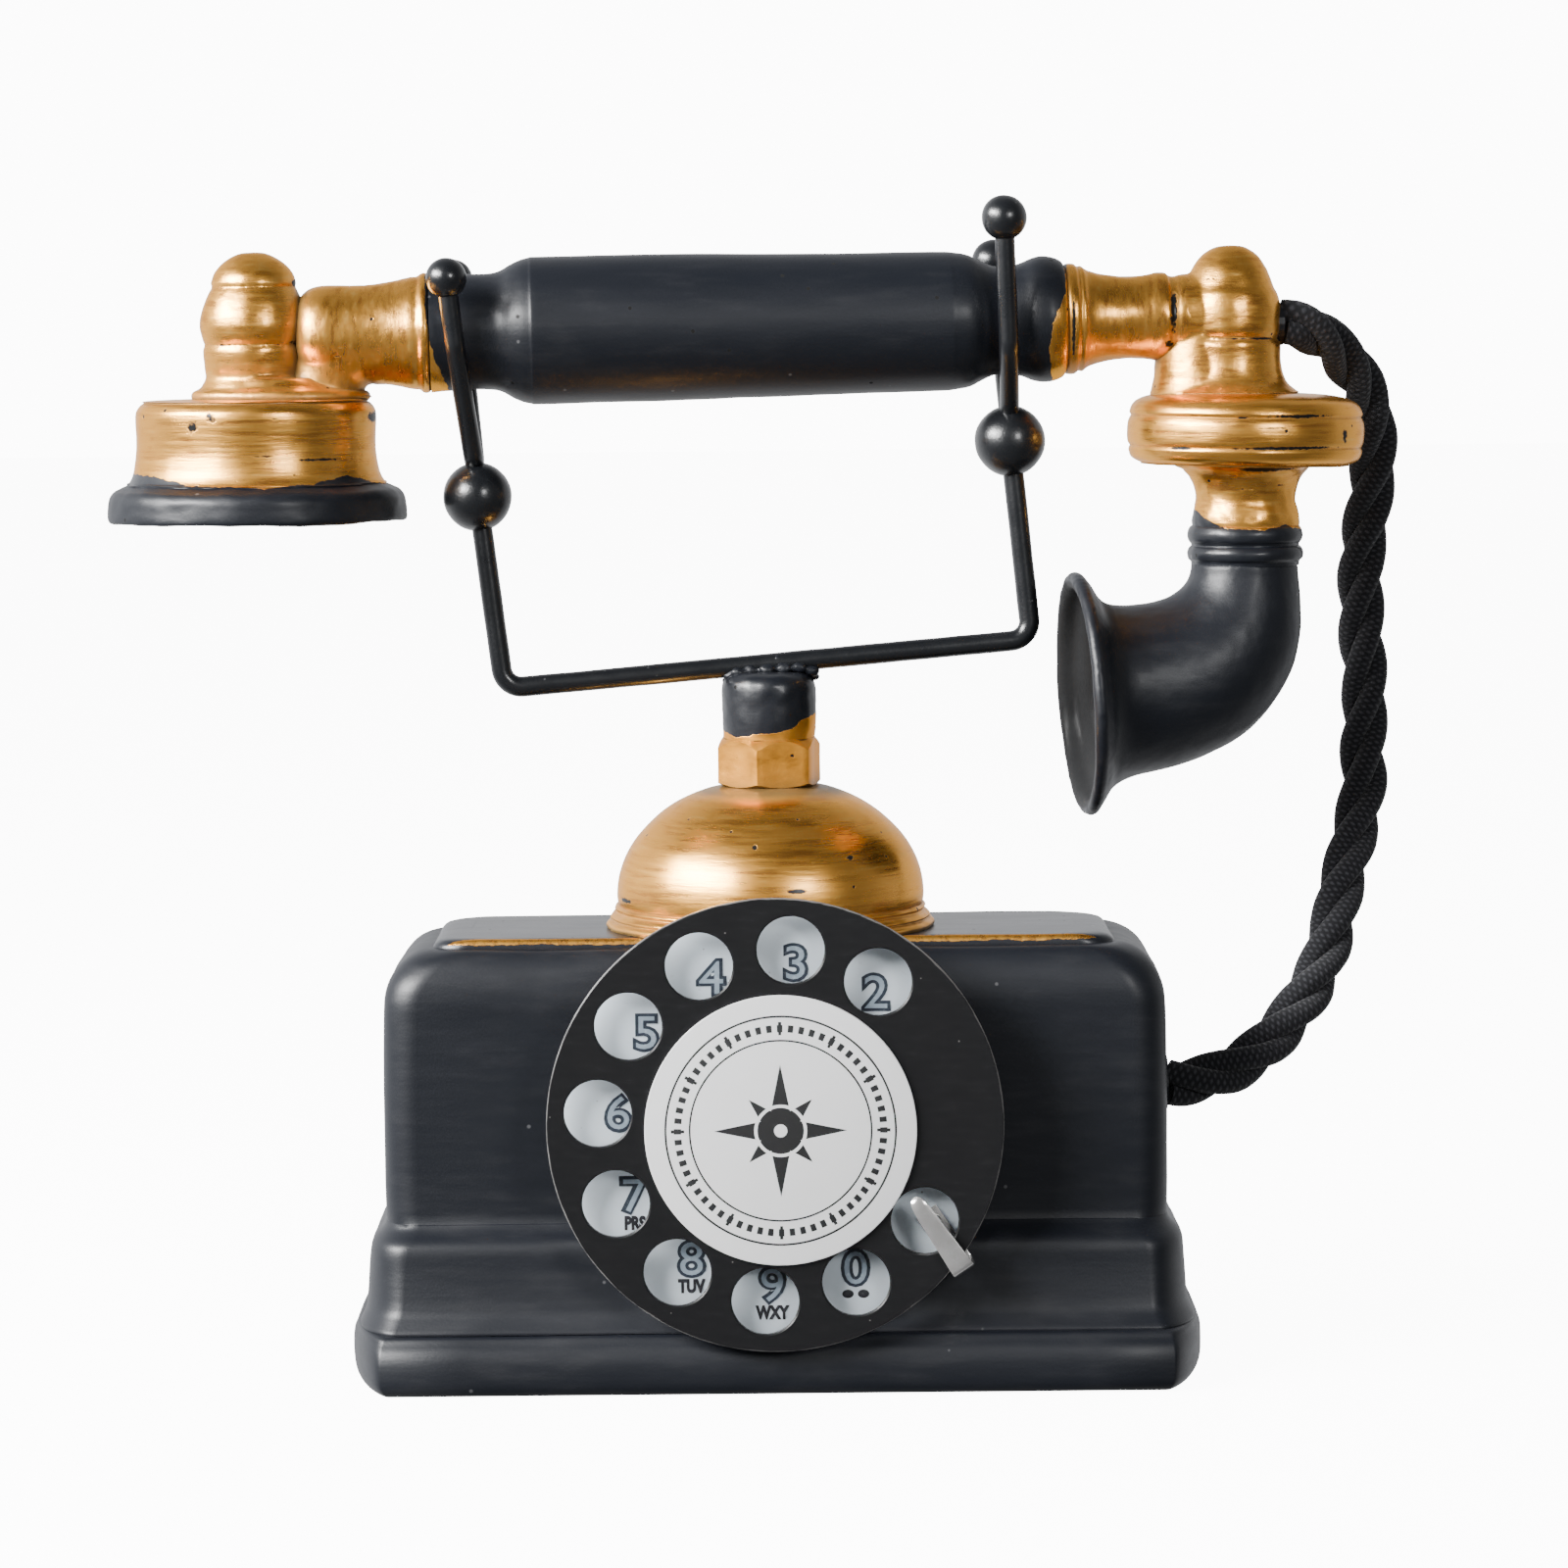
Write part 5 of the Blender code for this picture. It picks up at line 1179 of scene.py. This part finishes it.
def build_horn():
    """A bent trumpet through pairs of points on its inner and outer bend."""
    wall = 1.9
    bends = [catmull([(*pair[k], 0) for pair in HORN_OUTLINES], 4) for k in (0, 1)]
    pairs = list(zip(*bends))

    def ring(pair, grow=0.0, out=0.0):
        inner, outer = (Vector((p.x, 0, p.y)) for p in pair)
        across = (inner - outer).normalized()
        ahead = Vector((-across.z, 0, across.x))
        middle, radius = (inner + outer) / 2 + ahead * out, (inner - outer).length / 2 + grow
        return [middle + radius * (c * across + s * Vector((0, 1, 0))) for c, s in circle(72)]

    outer = [ring(pair) for pair in pairs]
    lip = [(0.65, 0.35), (0.95, 1.0), (0.75, 1.8), (0.1, 2.35), (-0.8, 2.4), (-1.6, 2.0), (-2.0, 1.2)]
    rim = [ring(pairs[-1], grow, out) for grow, out in lip]
    inside = [ring(pair, -wall) for pair in reversed(pairs[22:-2])]
    turn = HANDSET_YAW @ shift(DISC_X, 0, 0) @ spin(3.5, "Z") @ shift(-DISC_X, 0, 0)
    first, last = HORN_OUTLINES[-1]
    mouth = Vector(((first[0] + last[0]) / 2, 0, (first[1] + last[1]) / 2))
    inward = Vector((first[1] - last[1], 0, last[0] - first[0])).normalized()

    def hollow(look):
        """1 on the inner wall near the mouth: closer to the mouth's axis than the outer wall."""
        shifted = look.scaled(look.place, (1, 1, 1), tuple(-(turn @ mouth)))
        depth = look.vector("DOT_PRODUCT", shifted, tuple(turn.to_3x3() @ inward))
        far = look.vector("LENGTH", shifted)
        radius = look.math("SQRT", look.most(far * far - depth * depth, 0.0))
        outer_wall = look.graph(depth, [(-3, 19.5), (0, 19.0), (2.2, 16.6), (4.4, 14.9), (8, 13.8),
                                        (16, 13.4)])
        return look.step(radius - outer_wall, 0.4, -0.4) * look.step(depth, 15, 11)

    piece("horn_cast", loft(outer + rim + inside), satin_black("horn_black", hollow), "handset", "horn",
          move=turn, skin=(0.5, 5), uneven=(0.16, 10, 5.0))


# Studio


def area_light(name, at, size, power):
    data = bpy.data.lights.new(name, "AREA")
    data.shape, data.size, data.size_y = "RECTANGLE", *size
    data.energy = power
    light = placed(name, data)
    light.location = at
    light.rotation_euler = (Vector((0, 0, 0.12)) - Vector(at)).to_track_quat("-Z", "Y").to_euler()
    return light


def build_world():
    """White room: bright behind the object, dim on the camera's side, brighter on the left."""
    world = bpy.data.worlds.new("studio")
    bpy.context.scene.world = world
    world.use_nodes = True
    sky = Nodes(world.node_tree)
    x, y, z = sky.split(sky.node("ShaderNodeTexCoord").outputs["Generated"])
    walls = sky.ramp(y * 0.5 + 0.5, ((0.0, 0.10), (0.30, 0.14), (0.50, 0.35), (0.70, 0.75), (1.0, 0.85)),
                     tint=(0.985, 1, 1.03))
    ceiling = sky.ramp(z * 0.5 + 0.5, ((0.0, 0.85), (0.5, 1.0), (0.62, 1.0), (0.85, 0.42), (1.0, 0.26)))
    strength = sky.node("ShaderNodeMapRange", {
        "Value": x, "From Min": -0.4, "From Max": 1.0, "To Min": 1.7, "To Max": 0.8,
    })
    room = sky.tree.nodes["Background"]
    sky.put(room.inputs["Color"], sky.mix(1.0, walls, ceiling, "MULTIPLY"))
    sky.put(room.inputs["Strength"], strength.outputs["Result"])
    paper = sky.node("ShaderNodeBackground", {"Color": WHITE, "Strength": BACKDROP})
    seen = sky.node("ShaderNodeLightPath").outputs["Is Camera Ray"]
    both = sky.node("ShaderNodeMixShader", {0: seen, 1: room.outputs[0], 2: paper.outputs[0]})
    sky.put(sky.tree.nodes["World Output"].inputs["Surface"], both.outputs[0])


def build_floor():
    """Pale paper that glows, so that it and the backdrop look like one sweep."""
    size = 6.0
    mesh = bpy.data.meshes.new("floor")
    mesh.from_pydata([(-size, -size, 0), (size, -size, 0), (size, size, 0), (-size, size, 0)], [],
                     [(0, 1, 2, 3)])
    floor = placed("floor", mesh)
    look = Look("floor_paper")
    mesh.materials.append(look.finished(
        Base_Color=(0.88, 0.88, 0.88), Roughness=0.8, Emission_Color=WHITE,
        Emission_Strength=BACKDROP - 1.1,
    ))
    floor.visible_diffuse = floor.visible_glossy = floor.visible_transmission = False


def build_studio():
    build_world()
    build_floor()
    area_light("window_left", (-0.88, -0.50, 0.62), (1.0, 0.42), 45)
    pane = area_light("window_pane", (-0.86, -0.49, 0.60), (0.5, 0.2), 17)
    pane.visible_diffuse = False
    area_light("window_right", (0.50, -1.0, 0.47), (0.24, 0.24), 4)


make_camera()
build_cord()
build_base()
dress_inner_parts()
build_bell()
build_stem()
build_cradle()
build_dial()
build_stop()
build_grip()
build_ear()
build_mouth()
build_horn()
build_studio()
